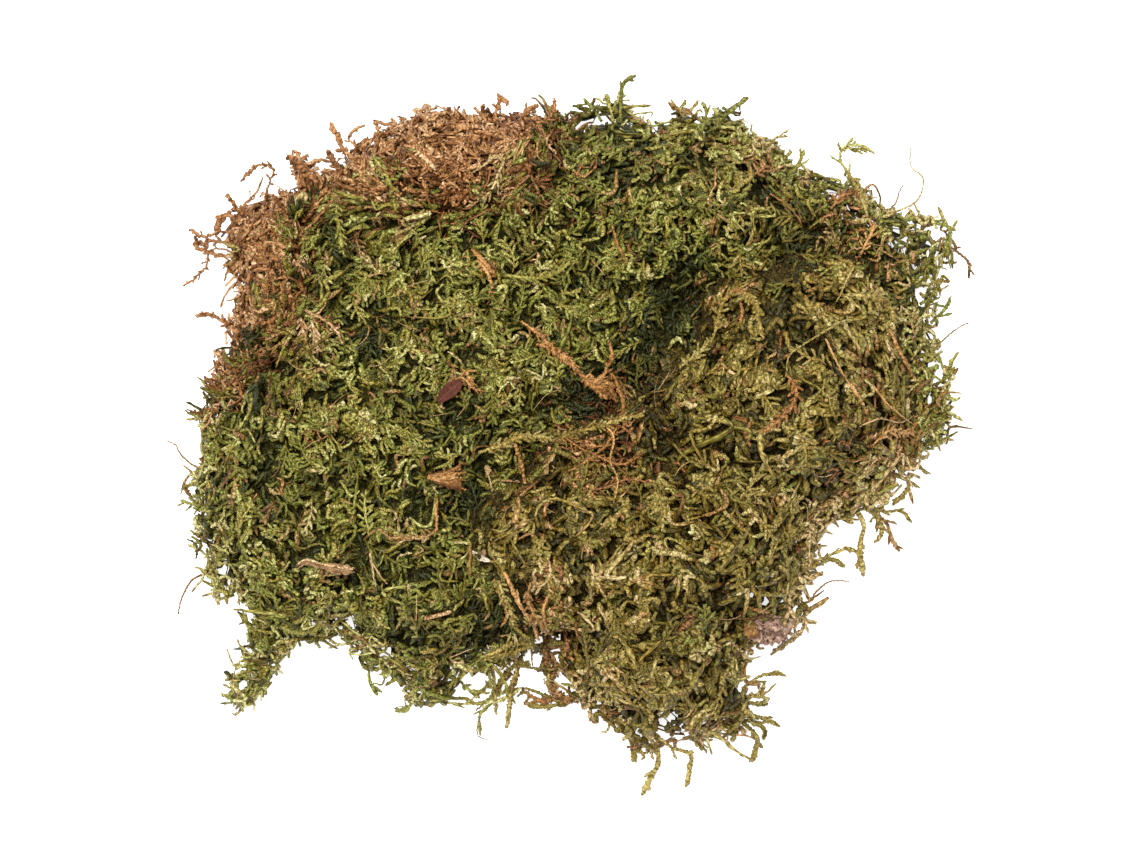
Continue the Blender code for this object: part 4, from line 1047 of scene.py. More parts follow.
def draped(points, lift, step=0.5 * MM, tuck=1.5 * MM):
    """A smooth line over the moss through these plan points, in millimetres. It stands `lift` above the moss,
    and its ends are tucked into it."""
    line = smooth_line(np.array([(x, y, 0) for x, y in points]) * MM, step)
    heights = np.array([top_at(x, y)[0] for x, y, _ in line])
    for _ in range(8):
        eased = heights.copy()
        eased[1:-1] = (heights[:-2] + 2 * heights[1:-1] + heights[2:]) / 4
        heights = np.maximum(eased, heights - 0.3 * MM)
    run = distances(line)
    ends = np.exp(-run / (2 * MM)) + np.exp(-(run[-1] - run) / (2 * MM))
    line[:, 2] = np.maximum(heights, 1 * MM) + lift - tuck * ends
    return line


def strand(line, radius, tint, rng, shape=LEAFY, sides=3, jitter=0.0, waist=None):
    """One stem along a line, as points, triangles and UVs."""
    if jitter:
        line = line + rng.normal(0, jitter, line.shape) * np.linspace(0.3, 1, len(line))[:, None]
    if waist is None:
        waist = 0.62 if shape is LEAFY else 0.92
    radii = ring_radii(1, len(line), radius, shape, waist)
    return tubes(line[None], radii, np.array([tint]), rng, sides, 0.35 if shape is LEAFY else 0.1)


def branchlets(line, ups, rng, spacing, length, radius, tint, rings=4, start=0.12, angle=0.9):
    """Side branches on alternate sides of a stem, in the plane that `ups` stands on."""
    run = distances(line)
    total = run[-1]
    places = np.arange(start * total, total * 0.97, spacing)
    count = len(places)
    if not count:
        return []
    bent = np.gradient(line, axis=0)
    at, tangent, up = (
        np.stack([np.interp(places, run, values[:, k]) for k in range(3)], axis=1)
        for values in (line, bent, ups)
    )
    tangent, up = unit(tangent), unit(up)
    side = unit(np.cross(up, tangent)) * np.where(np.arange(count) % 2, 1, -1)[:, None]
    swing = angle + rng.normal(0, 0.3, count)
    along = np.cos(swing)[:, None] * tangent + np.sin(swing)[:, None] * side
    along = unit(along + up * rng.normal(-0.05, 0.2, count)[:, None])
    reach = length * np.interp(places / total, [0, 0.25, 0.7, 1], [0.6, 1.0, 0.8, 0.35])
    reach = (reach * rng.uniform(0.6, 1.25, count))[:, None, None]
    s = np.linspace(0, 1, rings)[None, :, None]
    paths = at[:, None] + along[:, None] * reach * s + tangent[:, None] * reach * 0.3 * s**2
    tints = np.clip(tint + rng.normal(0, 0.06, count), 0.02, 0.98)
    return [tubes(paths, ring_radii(count, rings, radius), tints, rng)]


def crawl(x, y, heading, length, bend, lift):
    """A line that crawls over the moss from a plan place, and the outward direction at each of its points."""
    step = 0.8 * MM
    node = top_at(x, y)[1]
    tree = surfaces[node].tree
    place, up = tree.ray_cast(Vector((x, y, 1)), DOWN)[:2]
    along = Vector((math.cos(heading), math.sin(heading), 0))
    line, ups = [], []
    for _ in range(max(3, int(length / step))):
        line.append(place + up * lift)
        ups.append(up.copy())
        side = up.cross(along)
        along = (along + side * bend * step).normalized()
        place, up = tree.find_nearest(place + (along - up * along.dot(up)).normalized() * step)[:2]
    line, ups = np.array(line), np.array(ups)
    for _ in range(2):
        line[1:-1] = (line[:-2] + 2 * line[1:-1] + line[2:]) / 4
    return line, unit(ups)


def upward(line):
    """Straight up at each point of a line."""
    return np.tile([[0.0, 0.0, 1.0]], (len(line), 1))


def frond(line, ups, radius, tint, rng, spacing=0.9 * MM, length=3 * MM):
    """A feathery frond: a stem with leafy branchlets on both sides."""
    branches = branchlets(line, ups, rng, spacing, length, radius, tint, 5, angle=1.0)
    return [strand(line, radius * 0.9, tint, rng), *branches]


def sprig(name):
    """A free shoot at the edge, leafy if it is thick and wiry if it is thin."""
    turf, radius, points = SPRIGS[name]
    rng = np.random.default_rng(SPRIG_SEED + list(SPRIGS).index(name))
    tint = SPRIG_TINTS.get(name, rng.uniform(0.36, 0.62))
    line = smooth_line(np.array(points, float) * MM, 0.45 * MM)
    crumbly = turf == "brown"
    if radius < 0.6 and not crumbly:
        return [strand(line, radius * 0.88 * MM, tint, rng, WIRY, 4, 0.08 * MM)]
    sets = [strand(line, radius * 0.92 * MM, tint, rng, FREE, 5, (0.2 if crumbly else 0.1) * MM, 0.75)]
    spacing, reach, angle = (1.3, 1.7, 0.9) if crumbly else (3.8, 3.0, 0.5)
    return sets + branchlets(
        line, upward(line), rng, spacing * MM, reach * MM, radius * 0.66 * MM, tint, 5, 0.3, angle,
    )


def blade(
    line, ups, widths, tint, rng, across=8, cup=0.3, ribs=0.0, ragged=0.12, streaks=0.22, thick=0.16 * MM,
):
    """A thin closed leaf, scale or flake along a line. `widths` are its widths along it, `cup` how hollow it
    is across, `ribs` the height of its lengthwise ribs, and `streaks` how much their tints differ."""
    count = len(line)
    widths = np.interp(np.linspace(0, 1, count), np.linspace(0, 1, len(widths)), widths) * MM
    tangent = unit(np.gradient(line, axis=0))
    side = unit(np.cross(ups, tangent))
    up = np.cross(tangent, side)
    t = np.linspace(-1, 1, across + 1)
    edge = 1 + ragged * rng.uniform(-1, 1, (count, 2))
    half = widths[:, None] / 2 * np.where(t < 0, edge[:, :1], edge[:, 1:])
    ridges = ribs * rng.uniform(0.5, 1, across + 1)[None] * (-1) ** np.arange(across + 1)
    rise = cup * widths[:, None] / 2 * t[None] ** 2 + ridges + rng.normal(0, 0.05 * MM, (count, across + 1))
    top = line[:, None] + side[:, None] * (half * t[None])[..., None] + up[:, None] * rise[..., None]
    half_thick = up[:, None] * thick / 2
    points = np.concatenate([(top + half_thick).reshape(-1, 3), (top - half_thick).reshape(-1, 3)])
    row, sheet = across + 1, count * (across + 1)
    faces = []
    for i in range(count - 1):
        for j in range(across):
            a, b, c, d = i * row + j, i * row + j + 1, (i + 1) * row + j + 1, (i + 1) * row + j
            faces += [(a, c, b), (a, d, c)]
            faces += [(a + sheet, b + sheet, c + sheet), (a + sheet, c + sheet, d + sheet)]
    rim = [i * row for i in range(count)] + [(count - 1) * row + j for j in range(1, row)]
    rim += [i * row + across for i in range(count - 2, -1, -1)] + list(range(across - 1, 0, -1))
    for a, b in zip(rim, rim[1:] + rim[:1]):
        faces += [(a, a + sheet, b), (b, a + sheet, b + sheet)]
    u = tint + streaks * rng.uniform(-1, 1, across + 1)[None] + rng.normal(0, 0.06, (count, across + 1))
    # v runs from the darker, painted-shade end of the root-to-tip factors toward the lighter end along the
    # blade.
    v = np.broadcast_to(np.linspace(0.45, 0.95, count)[:, None], u.shape)
    uvs = np.stack([np.clip(u, 0.01, 0.99), v], axis=-1).reshape(-1, 2)
    return points, np.array(faces), np.concatenate([uvs, uvs + np.array([0.004, 0.004])])


# ---------------------------------------------------------------- the clump

# Seed, how far it lies below the surface, and its tones from dark to light: partly the old stems' own colour
# and partly painted shade of the deep gaps.
CORES = {
    "green": (21, 7.5 * MM, [(12, 11, 4), (34, 31, 12), (62, 58, 25), (112, 108, 56)]),
    "olive": (22, 7.5 * MM, [(14, 10, 4), (36, 28, 11), (66, 54, 24), (116, 98, 52)]),
    "brown": (23, 6 * MM, [(24, 12, 5), (54, 31, 14), (88, 55, 29), (132, 92, 56)]),
}
cores = {label: Surface(core(label, *settings).data) for label, settings in CORES.items()}

COVER = {  # shoots in each layer, and at the edge for each millimetre of it
    "green": {"top": 5700, "long": 170, "under": 3200, "deep": 0, "core": 2600, "edge": 1.0, "loose": 0.12},
    "olive": {"top": 2850, "long": 180, "under": 1700, "deep": 0, "core": 1400, "edge": 0.9, "loose": 0.22},
    "brown": {"top": 2700, "long": 0, "under": 0, "deep": 1000, "core": 700, "edge": 0.9, "loose": 0.06},
}
groups = []
for i, (label, counts) in enumerate(COVER.items()):
    seed = COVER_SEED + 10 * i
    for k, layer in enumerate(LAYERS):
        if counts[layer]:
            groups.append(cover(label, seed + k, counts[layer], layer))
    groups.append(fringe(label, seed + len(LAYERS), counts["edge"]))
    groups.append(fringe(label, seed + len(LAYERS) + 1, counts["loose"], loose=True))
for label in COVER:
    shoot_pieces(label, groups)
    chosen = [name for name, (turf, _, _) in SPRIGS.items() if turf == label]
    piece(f"{label}_free_shoots", [s for name in chosen for s in sprig(name)], label)


def scattered_fronds(label, seed, look, fronds):
    """Feathery fronds that lie on a turf, added to those in the palette of the moss where they are."""
    rng = np.random.default_rng(seed)
    node = f"{label}_turf"
    weights = facing_weights(node) * (surfaces[node].face_normals[:, 2] > 0.3)
    at, _ = surfaces[node].scatter(look["count"], rng, weights)
    owners = palettes_at(at, label, rng)
    tints = tints_at(at, owners, np.zeros(len(at)), rng)
    tints = np.where(tints < 0.8, np.minimum(tints, 0.58), tints)
    radius, spacing, branch = (look[key] * MM for key in ("radius", "spacing", "branch"))
    for (x, y, _), owner, tint in zip(at, owners, tints):
        heading, length = rng.uniform(0, 2 * math.pi), rng.uniform(*look["length"]) * MM
        line, ups = crawl(x, y, heading, length, rng.normal(0, 80), rng.uniform(*look["lift"]) * MM)
        if min(plan_distance(line, (x, y)).min() - size * MM for x, y, size in GAPS) > branch:
            fronds[owner] += frond(line, ups, radius, tint, rng, spacing, branch)


# How many fronds lie on each turf, and their sizes in millimetres.
FRONDS = {
    "green": {
        "count": 130, "length": (7, 14), "lift": (-1.3, 0.3), "radius": 0.6, "spacing": 1.0, "branch": 2.8,
    },
    "olive": {
        "count": 50, "length": (8, 15), "lift": (-1.2, 0.4), "radius": 0.64, "spacing": 1.1, "branch": 3.0,
    },
    "brown": {
        "count": 40, "length": (5, 9), "lift": (-1.2, 0.1), "radius": 0.6, "spacing": 0.9, "branch": 2.2,
    },
}
fronds = {label: [] for label in FRONDS}
for i, (label, look) in enumerate(FRONDS.items()):
    scattered_fronds(label, FROND_SEED + i, look, fronds)
for label, sets in fronds.items():
    piece(f"{label}_fronds", sets, label)

# Strands that lie on top, by palette: kind, radius, tint, height above the moss, and plan points from the
# root to the tip, in millimetres.
STRANDS = {
    "green": [
        ("frond", 0.8, 0.5, 0.9, [(-17, 43), (-8, 42.4), (-3, 44), (0.4, 47)]),
        ("frond", 0.8, 0.52, 1.2, [(-52.5, 76), (-50, 72), (-47.5, 68), (-46.3, 63), (-45.6, 58)]),
        ("frond", 0.7, 0.5, 1.2, [(-61, 67), (-61.5, 60), (-60.5, 54), (-59.5, 48)]),
        ("shoot", 0.75, 0.55, 1.4, [
            (-37.4, -71), (-33.8, -71), (-28.4, -71), (-24.7, -72.1), (-20.8, -70.6), (-17.2, -69.2),
            (-13.5, -68.1),
        ]),
        ("frond", 0.7, 0.5, 1.2, [(-30, -66), (-27, -68.6), (-24, -69.4), (-21, -66)]),
        ("shoot", 0.7, 0.5, 1.2, [(-2, -66.5), (1.6, -67), (4, -70.2)]),
        ("frond", 0.9, 0.5, 0.7, [
            (-77, -50.4), (-74.5, -51.8), (-71.5, -52.4), (-68.4, -51.6), (-66, -50.2),
        ]),
    ],
    "olive": [
        ("wire", 0.46, 0.56, 1.0, [(75.4, 45.2), (71.8, 38.3), (70.6, 35.9)]),
        ("wire", 0.46, 0.57, 1.4, [
            (72.1, 37.8), (74.9, 35.6), (78, 32.1), (74.9, 31.1), (71.4, 30.4), (67.3, 28), (63.2, 25.6),
            (59.4, 23.2), (57.3, 21.1), (56.6, 16),
        ]),
        ("frond", 0.85, 0.54, 1.2, [
            (37.7, 24.6), (39.4, 30.1), (40.8, 35.6), (43.2, 38.7), (45.6, 39), (47.3, 37), (49.4, 34.2),
            (49.7, 30.1), (50.8, 26),
        ]),
        ("frond", 0.75, 0.62, 0.9, [(30.1, 19), (34, 22), (37.7, 26)]),
        ("frond", 0.6, 0.78, 1.2, [
            (-25.8, 69.8), (-22.4, 72.1), (-19.3, 74.6), (-17.2, 73.2), (-18.6, 69.7), (-20.3, 65.6),
            (-23.1, 63.2), (-27.2, 61.2),
        ]),
        ("frond", 0.75, 0.84, 0.7, [(-35.4, -25), (-38, -26.4), (-42, -26.6), (-47.9, -26.6)]),
        ("frond", 0.98, 0.56, 1.2, [(-24, -4), (-18, -2), (-12, 0.4), (-7, 0), (-3, -1)]),
        ("frond", 0.8, 0.56, 1.3, [(-4, -0.8), (2, 1.6), (8, 2.8), (14, 5), (20, 6)]),
        ("frond", 0.7, 0.6, 0.8, [(-19.5, -36), (-17.5, -41), (-15.2, -46.5), (-14.6, -51)]),
        ("frond", 0.75, 0.88, 0.9, [(-10, -38), (-10.6, -43), (-8, -48), (-4.4, -52)]),
        ("frond", 1.0, 0.56, 1.2, [(73, 37.6), (78, 37.4), (83, 36.4), (86, 33.6), (86.4, 29)]),
        ("frond", 0.8, 0.62, 1.2, [(80, 59), (79, 63), (77.6, 67), (75.5, 70.5)]),
        ("shoot", 0.6, 0.3, 0.8, [(100.2, 49.2), (102, 47.7), (105.6, 47.7)]),
        ("shoot", 0.85, 0.62, 1.6, [
            (-21.5, -58), (-20.6, -63.8), (-20, -68.1), (-19.9, -71), (-19.7, -75.3),
        ]),
        ("shoot", 0.85, 0.58, 1.6, [
            (-14.4, -58), (-14.3, -63.8), (-15.7, -68.1), (-16.1, -73), (-16.9, -79),
        ]),
        ("frond", 0.8, 0.5, 1.4, [(-24, -60.5), (-20, -58.6), (-15, -58), (-10, -55)]),
        ("frond", 0.8, 0.45, 1.4, [(-26, -63), (-21, -61.5), (-16, -60.6), (-12.6, -61.4), (-10.5, -62)]),
        ("shoot", 0.7, 0.35, 1.4, [
            (-13.5, -68.1), (-10.6, -68.5), (-7.7, -69.6), (-4.9, -70.6), (-1, -69.6),
        ]),
        ("shoot", 0.8, 0.5, 1.4, [(-5, -61.6), (-5.4, -65), (-5.2, -68), (-3.8, -71)]),
        ("shoot", 0.6, 0.4, 1.2, [(-14, -70.6), (-12.1, -69.2), (-10.6, -70.3), (-12.1, -72.4)]),
        ("shoot", 1.05, 0.45, 1.4, [(-11.4, -57.6), (-14.6, -61.8), (-18.2, -66.1), (-19.1, -70)]),
        ("shoot", 0.95, 0.9, 1.2, [(-15.3, -56.4), (-14, -61), (-14.3, -65.2), (-15.7, -70)]),
        ("frond", 0.8, 0.92, 1.2, [(-6.5, -56.4), (-3.6, -61.3), (-4.6, -67.1), (-0.7, -71)]),
        ("frond", 0.9, 0.35, 1.2, [(-9.5, -55), (-6.4, -59.5), (-7, -63), (-3.6, -65.6)]),
        ("shoot", 0.9, 0.55, 1.2, [(-24, -59.5), (-19.5, -57.6), (-15.5, -55.6), (-11, -55.4)]),
        ("shoot", 0.8, 0.45, 0.4, [(50.6, -39.6), (50.3, -42.8), (50.8, -46)]),
        ("shoot", 0.8, 0.4, 0.4, [(54.6, -40.6), (54.2, -43.8), (54.7, -47)]),
        ("shoot", 0.75, 0.35, 0.4, [(50.8, -41.6), (54, -41.6), (58, -42)]),
    ],
    "brown": [
        ("shoot", 0.8, 0.85, 0.7, [(-40.3, 76.3), (-37.6, 73.5), (-35.1, 71.1)]),
        ("frond", 0.75, 0.82, 1.0, [(-71.5, 33), (-70.5, 29), (-70.5, 25), (-72, 21)]),
        ("frond", 0.75, 0.88, 1.0, [(-68, 31), (-67, 27), (-66.4, 23)]),
        ("shoot", 0.6, 0.8, 1.2, [(-74, 38), (-70, 34), (-66, 32), (-62, 29), (-60, 25)]),
        ("frond", 0.45, 0.35, 0.8, [(4, -14), (10, -13), (16, -11), (22, -12)]),
    ],
    "rust": [
        ("wire", 0.35, 0.75, 1.0, [(67.3, 25.9), (69.7, 20.4), (72.5, 15.3), (75.2, 11.8)]),
        ("shoot", 0.7, 0.6, 0.9, [(72.5, 15.3), (75.2, 11.8), (78.3, 6.3)]),
        ("shoot", 0.7, 0.45, 0.8, [(45.2, 36.3), (45.6, 33), (45.2, 30.1)]),
        ("shoot", 1.0, 0.5, 0.9, [(-25.6, 49.9), (-22.4, 46.6), (-19.4, 42.6)]),
        ("shoot", 0.8, 0.62, 0.9, [(-24, 47), (-21.4, 43.4), (-20.2, 40.4)]),
        ("shoot", 0.62, 0.55, 0.6, [(-35, -16), (-35.2, -20), (-35.2, -23.9), (-36.4, -25.8)]),
        ("frond", 0.45, 0.5, 0.8, [(-30.5, 15.1), (-28, 15.8), (-25.3, 13.3), (-22.6, 12.2)]),
        ("shoot", 0.8, 0.6, 1.2, [(-20, -3.6), (-15, -1.4), (-13.6, -4), (-12.4, -8), (-11.6, -12)]),
        ("shoot", 0.6, 0.45, 0.8, [(-26, -28), (-26.2, -32), (-26.1, -37)]),
        ("shoot", 0.6, 0.4, 0.7, [(12, 55), (13, 51), (15, 47)]),
        ("frond", 0.6, 0.6, 0.8, [(-28.5, 18.5), (-26.5, 16.5), (-25, 13.5)]),
        ("shoot", 0.8, 0.62, 0.9, [(-18, -34), (-15.6, -38), (-14.2, -41.5), (-12.5, -45)]),
        ("shoot", 0.75, 0.7, 0.9, [(-13.6, -40), (-12.6, -44.6), (-9.4, -49), (-8, -54)]),
        ("shoot", 0.7, 0.5, 0.9, [(-5, -41), (-6.6, -45.4), (-6, -50.4)]),
        ("shoot", 0.7, 0.55, 0.9, [(-19.7, -37), (-18.3, -42), (-16.4, -47), (-18, -50.5)]),
        ("frond", 0.45, 0.35, 0.8, [(-3, 2), (2, -2), (8, -5), (14, -7), (20, -4)]),
        ("frond", 0.45, 0.45, 0.9, [(0, -9), (5, -6), (10, -2), (13, 3)]),
        ("wire", 0.4, 0.65, 1.2, [(9, 4), (12, 0), (11, -6), (13, -11), (12, -17)]),
        ("wire", 0.4, 0.65, 1.0, [(80, 14), (84, 9), (88, 6), (93, 3)]),
        ("frond", 0.75, 0.4, 0.9, [(56.6, 17), (59, 13), (58.4, 9), (54, 4), (49.5, 1)]),
        ("shoot", 0.85, 0.35, 1.6, [(40.2, 34.4), (42.6, 38.4), (45.8, 38.8), (48, 36)]),
        ("shoot", 0.7, 0.55, 1.0, [(85, 29), (88.4, 22.3), (91, 18), (94, 14.6)]),
        ("frond", 0.55, 0.65, 0.9, [(80, -2), (85, 2), (90, 1), (94, 4)]),
        ("frond", 0.7, 0.35, 1.0, [(70, 61), (73, 64.5), (77, 65.5), (79, 62)]),
        ("wire", 0.4, 0.3, 0.8, [(69, 63), (71.5, 64.6), (73.4, 67.4)]),
        ("frond", 0.6, 0.7, 1.0, [(78, 49), (80, 53), (82, 57.6)]),
        ("wire", 0.45, 0.15, 1.4, [(-15.4, -64.4), (-18.6, -67.4), (-22.2, -71.4), (-25.2, -74.4)]),
        ("frond", 0.8, 0.5, 1.2, [(-12.1, -72.8), (-8.5, -71.7), (-4.1, -71), (1, -70.4)]),
        ("shoot", 1.0, 0.4, 1.3, [(-12.6, -68.8), (-7.5, -71.6), (-2.6, -71), (2.7, -72)]),
        ("shoot", 0.7, 0.4, 0.4, [(47.4, -44.6), (50.4, -45.8), (53.6, -46.4)]),
    ],
    "straw": [
        ("shoot", 0.55, 0.5, 0.7, [(-52.8, 63.9), (-49.7, 64.1), (-46.6, 63.3)]),
        ("shoot", 0.55, 0.45, 0.7, [(-18.8, -11.5), (-16, -11.6), (-13.1, -11.8)]),
        ("wire", 0.35, 0.5, 1.0, [(82, 48.4), (83.4, 51.2), (85, 54)]),
        ("wire", 0.35, 0.4, 1.0, [(83, 50.5), (86, 48.6), (88.6, 47.2)]),
    ],
    "wire": [
        ("wire", 0.42, 0.8, 0.8, [(-52.4, -30.5), (-51.6, -35), (-50.8, -39.4)]),
        ("wire", 0.36, 0.7, 0.9, [(-52.2, -32.5), (-50, -35.8), (-47.8, -38.7)]),
        ("wire", 0.35, 0.8, 1.0, [(-20.4, -14.5), (-20.9, -12), (-21.6, -10)]),
        ("shoot", 1.2, 0.75, 1.0, [(-21.5, -10.2), (-21.6, -8.8), (-21.7, -7.4)]),
        ("wire", 0.3, 0.6, 1.0, [(76, 3), (82, 5), (88, 4), (93, 6)]),
        ("wire", 0.3, 0.3, 1.2, [(-24, -75.7), (-24.7, -78.2), (-24.7, -81.1), (-22.2, -82.3)]),
        ("wire", 0.3, 0.15, 1.4, [(-8.5, -63.8), (-6.3, -63.2), (-3, -63.4)]),
    ],
}
STRAND_SHAPES = {"wire": WIRY, "shoot": LEAFY, "frond": LEAFY}


def strands(palette):
    """The named strands of one palette."""
    rng = np.random.default_rng(STRAND_SEED + list(TINTS).index(palette))
    sets = []
    for kind, radius, tint, lift, points in STRANDS[palette]:
        line = draped(points, lift * MM, 0.45 * MM)
        sets.append(strand(line, radius * MM, tint, rng, STRAND_SHAPES[kind], 4, 0.09 * MM))
        if kind == "frond":
            sets += branchlets(line, upward(line), rng, 1.0 * MM, 2.2 * MM, radius * 0.85 * MM, tint)
    return sets


def scattered_wires(seed, count):
    """Bare wiry stems that wander over the moss."""
    rng = np.random.default_rng(seed)
    sets = []
    for label, share in (("green", 0.5), ("olive", 0.32), ("brown", 0.18)):
        node = f"{label}_turf"
        weights = facing_weights(node) * (surfaces[node].face_normals[:, 2] > 0.2)
        at, _ = surfaces[node].scatter(int(count * share), rng, weights)
        for x, y, _ in at:
            heading, length = rng.uniform(0, 2 * math.pi), rng.uniform(4, 11) * MM
            line, _ = crawl(x, y, heading, length, rng.normal(0, 160), rng.uniform(-0.4, 0.8) * MM)
            sets.append(strand(line, rng.uniform(0.14, 0.24) * MM, rng.uniform(0.15, 0.85), rng, WIRY))
    return sets


for palette in ("green", "olive", "brown", "rust", "straw"):
    piece(f"{palette}_strands", strands(palette), palette)
piece("wiry_stems", strands("wire") + scattered_wires(WIRE_SEED, 130), "wire")


def underside(seed, count):
    """Matted old stems that lie on the cut underside of every turf."""
    point_count = 7
    rng = np.random.default_rng(seed)
    sets = []
    whole = sum(s.areas.sum() for s in surfaces.values())
    for surface in surfaces.values():
        low, high = surface.points.min(0), surface.points.max(0)
        share = count * surface.areas.sum() / whole
        for x, y in rng.uniform(low[:2], high[:2], (int(share * 2), 2)):
            heading, length, bend = rng.uniform(0, 2 * math.pi), rng.uniform(8, 18) * MM, rng.normal(0, 40)
            turn = heading + bend * np.linspace(0, length, point_count)
            steps = np.stack([np.cos(turn), np.sin(turn)], axis=1) * length / (point_count - 1)
            line = np.zeros((point_count, 3))
            line[:, :2] = np.array((x, y)) + np.cumsum(steps, axis=0)
            floor = [surface.tree.ray_cast(Vector((a, b, -1)), UP)[0] for a, b, _ in line]
            if all(floor):
                line[:, 2] = [hit.z + rng.uniform(0.1, 0.7) * MM for hit in floor]
                sets.append(strand(line, rng.uniform(0.2, 0.45) * MM, rng.uniform(0.02, 0.45), rng, WIRY))
    return sets


piece("underside_stems", underside(UNDERSIDE_SEED, 700), "brown")

# ---------------------------------------------------------------- litter


def dead_frond(rng):
    """The dead frond right of the middle: stems with branchlets, by plan points, radius and tint."""
    sets = []
    for points, radius, tint in (
        (
            [(-12.6, 31), (-9.6, 28.6), (-7, 27), (-5, 24.2), (-2.6, 22.6), (0.4, 20.6), (2, 18), (5.4, 15)],
            0.8, 0.5,
        ),
        ([(-7, 26.4), (-4.6, 24.4), (-3.2, 21.8), (-0.4, 20.8)], 0.6, 0.6),
        ([(-5.4, 21.6), (-4.6, 23.2), (-2.2, 22.2), (-0.6, 20), (1.6, 20)], 0.6, 0.55),
        ([(4.2, 15.2), (7.4, 15.2), (9.6, 17), (10.6, 19.6), (11.6, 22.2), (10.6, 25.4)], 0.66, 0.5),
        ([(3.8, 16), (6.2, 13.6), (8.8, 13), (11.2, 10.6)], 0.95, 0.34),
        ([(10, 18.2), (12.4, 15.8), (13.4, 12.6), (14.6, 9.6), (14.2, 6.4), (12.8, 3.6)], 0.62, 0.45),
        ([(3.4, 14.6), (5.8, 16.6), (8.4, 13.8), (12.4, 14.4)], 0.55, 0.5),
        ([(5, 14.6), (8, 13.4), (11, 13), (13, 9.6)], 0.9, 0.3),
        ([(5.6, 16.2), (7.6, 14.8), (10, 14.8), (12.4, 13.6)], 0.8, 0.62),
        ([(6.4, 13.4), (8.2, 11.8), (10.4, 10.4)], 0.8, 0.55),
        ([(-8.6, 24.6), (-6.4, 24.2), (-4.4, 22.8)], 0.7, 0.66),
    ):
        line = draped(points, 1.0 * MM, 0.42 * MM, 0.8 * MM)
        sets.append(strand(line, radius * MM, tint, rng, LEAFY, 5, 0.14 * MM, 0.7))
        sets += branchlets(line, upward(line), rng, 1.2 * MM, 1.9 * MM, radius * 0.6 * MM, tint, angle=0.7)
    piece("dead_frond_leafy", sets, "rust", ["dead_frond"])


def cone_scale(rng):
    """The fan-shaped scale: ribs that spread from its foot over a thin blade, with a ragged rim."""
    foot_x, foot_y, rib_count = -37.5, -10.4, 11
    sets = []
    for k, reach in enumerate(np.linspace(-1, 1, rib_count)):
        end = (-28.4 + 0.9 * math.cos(k * 2.1), -10.6 - 3.9 * reach)
        middle = (-32.5, -10.9 - 1.6 * reach)
        line = draped([(foot_x, foot_y - 0.3 * reach), middle, end], 0.8 * MM, tuck=0.3 * MM)
        sets.append(strand(line, 0.56 * MM, 0.3 + 0.09 * (k * 7 % 6), rng, LEAFY, 4, 0.2 * MM))
    line = draped([(foot_x, foot_y), (-33, -10.8), (-28.6, -10.8)], 0.5 * MM, 0.4 * MM, 0.2 * MM)
    sets.append(blade(line, upward(line), (0.8, 3.4, 5.8, 7.4), 0.15, rng, 12, 0.1, 0.25 * MM))
    piece("cone_scale_ribbed", sets, "rust", ["cone_scale"])


def bud_scale(rng):
    """The dark red scale: a cupped blade with a midrib."""
    line = draped([(-34.6, 9.6), (-32.4, 11.4), (-30.3, 13.3), (-28.2, 15)], 1.0 * MM, 0.35 * MM, 0.4 * MM)
    sets = [blade(line, upward(line), (0.4, 2.6, 3.7, 3.9, 3.0, 0.7), 0.4, rng, 12, 0.4, 0.08 * MM, 0.05)]
    sets.append(strand(line + np.array([0, 0, 0.15 * MM]), 0.14 * MM, 0.62, rng, WIRY))
    piece("bud_scale_cupped", sets, "red_leaf", ["bud_scale"])


def withered_shoot(rng):
    """The withered shoot: a crumpled, wavy blade between two thin stems."""
    crumpled = [
        (-72, -34), (-70.4, -33), (-68.9, -32.6), (-66.5, -33.4),
        (-64.1, -33.9), (-60.8, -34.6), (-57, -34.7),
    ]
    widths = (0.5, 0.8, 1.1, 0.9, 1.6, 2.8, 3.1, 0.8)
    line = draped(crumpled, 0.9 * MM, 0.4 * MM, 0.5 * MM)
    line[:, 2] += 0.5 * MM * np.sin(distances(line) / (0.75 * MM))
    sets = [blade(line, upward(line), widths, 0.76, rng, 8, 0.7, 0.26 * MM, 0.35, 0.34)]
    sets.append(strand(line + np.array([0.2, 0.5, 0.4]) * MM, 0.45 * MM, 0.85, rng, LEAFY, 4, 0.2 * MM))
    sets.append(strand(line + np.array([0.4, -0.7, 0.3]) * MM, 0.4 * MM, 0.4, rng, LEAFY, 4, 0.15 * MM))
    piece("withered_shoot_crumpled", sets, "straw", ["withered_shoot"])


def bit_of_straw(rng):
    """The bit of straw: a round stem."""
    line = draped([(-37.9, -47.6), (-34.5, -46.8), (-31.1, -45.8)], 0.9 * MM, 0.5 * MM, 0.2 * MM)
    piece("straw_round", [strand(line, 0.5 * MM, 0.62, rng, ROUND, 8, waist=1.0)], "straw", ["straw"])


def pale_flake(rng):
    """The cream flake: two curled blades."""
    line = draped([(-25.6, -30.2), (-23.6, -31.7), (-20.6, -32.7)], 1.4 * MM, 0.35 * MM, 0.3 * MM)
    sets = [blade(line, upward(line), (0.5, 1.3, 1.8, 1.3, 0.3), 0.86, rng, 8, 0.6, 0.04 * MM, 0.1, 0.1)]
    line = draped([(-22.2, -29.6), (-22.6, -30.6), (-23.4, -31.6)], 1.2 * MM, 0.35 * MM, 0.3 * MM)
    sets.append(blade(line, upward(line), (0.8, 1.8, 0.9), 0.16, rng, 8, 0.5, 0.04 * MM, 0.1, 0.1))
    piece("pale_flake_curled", sets, "pale", ["pale_flake"])


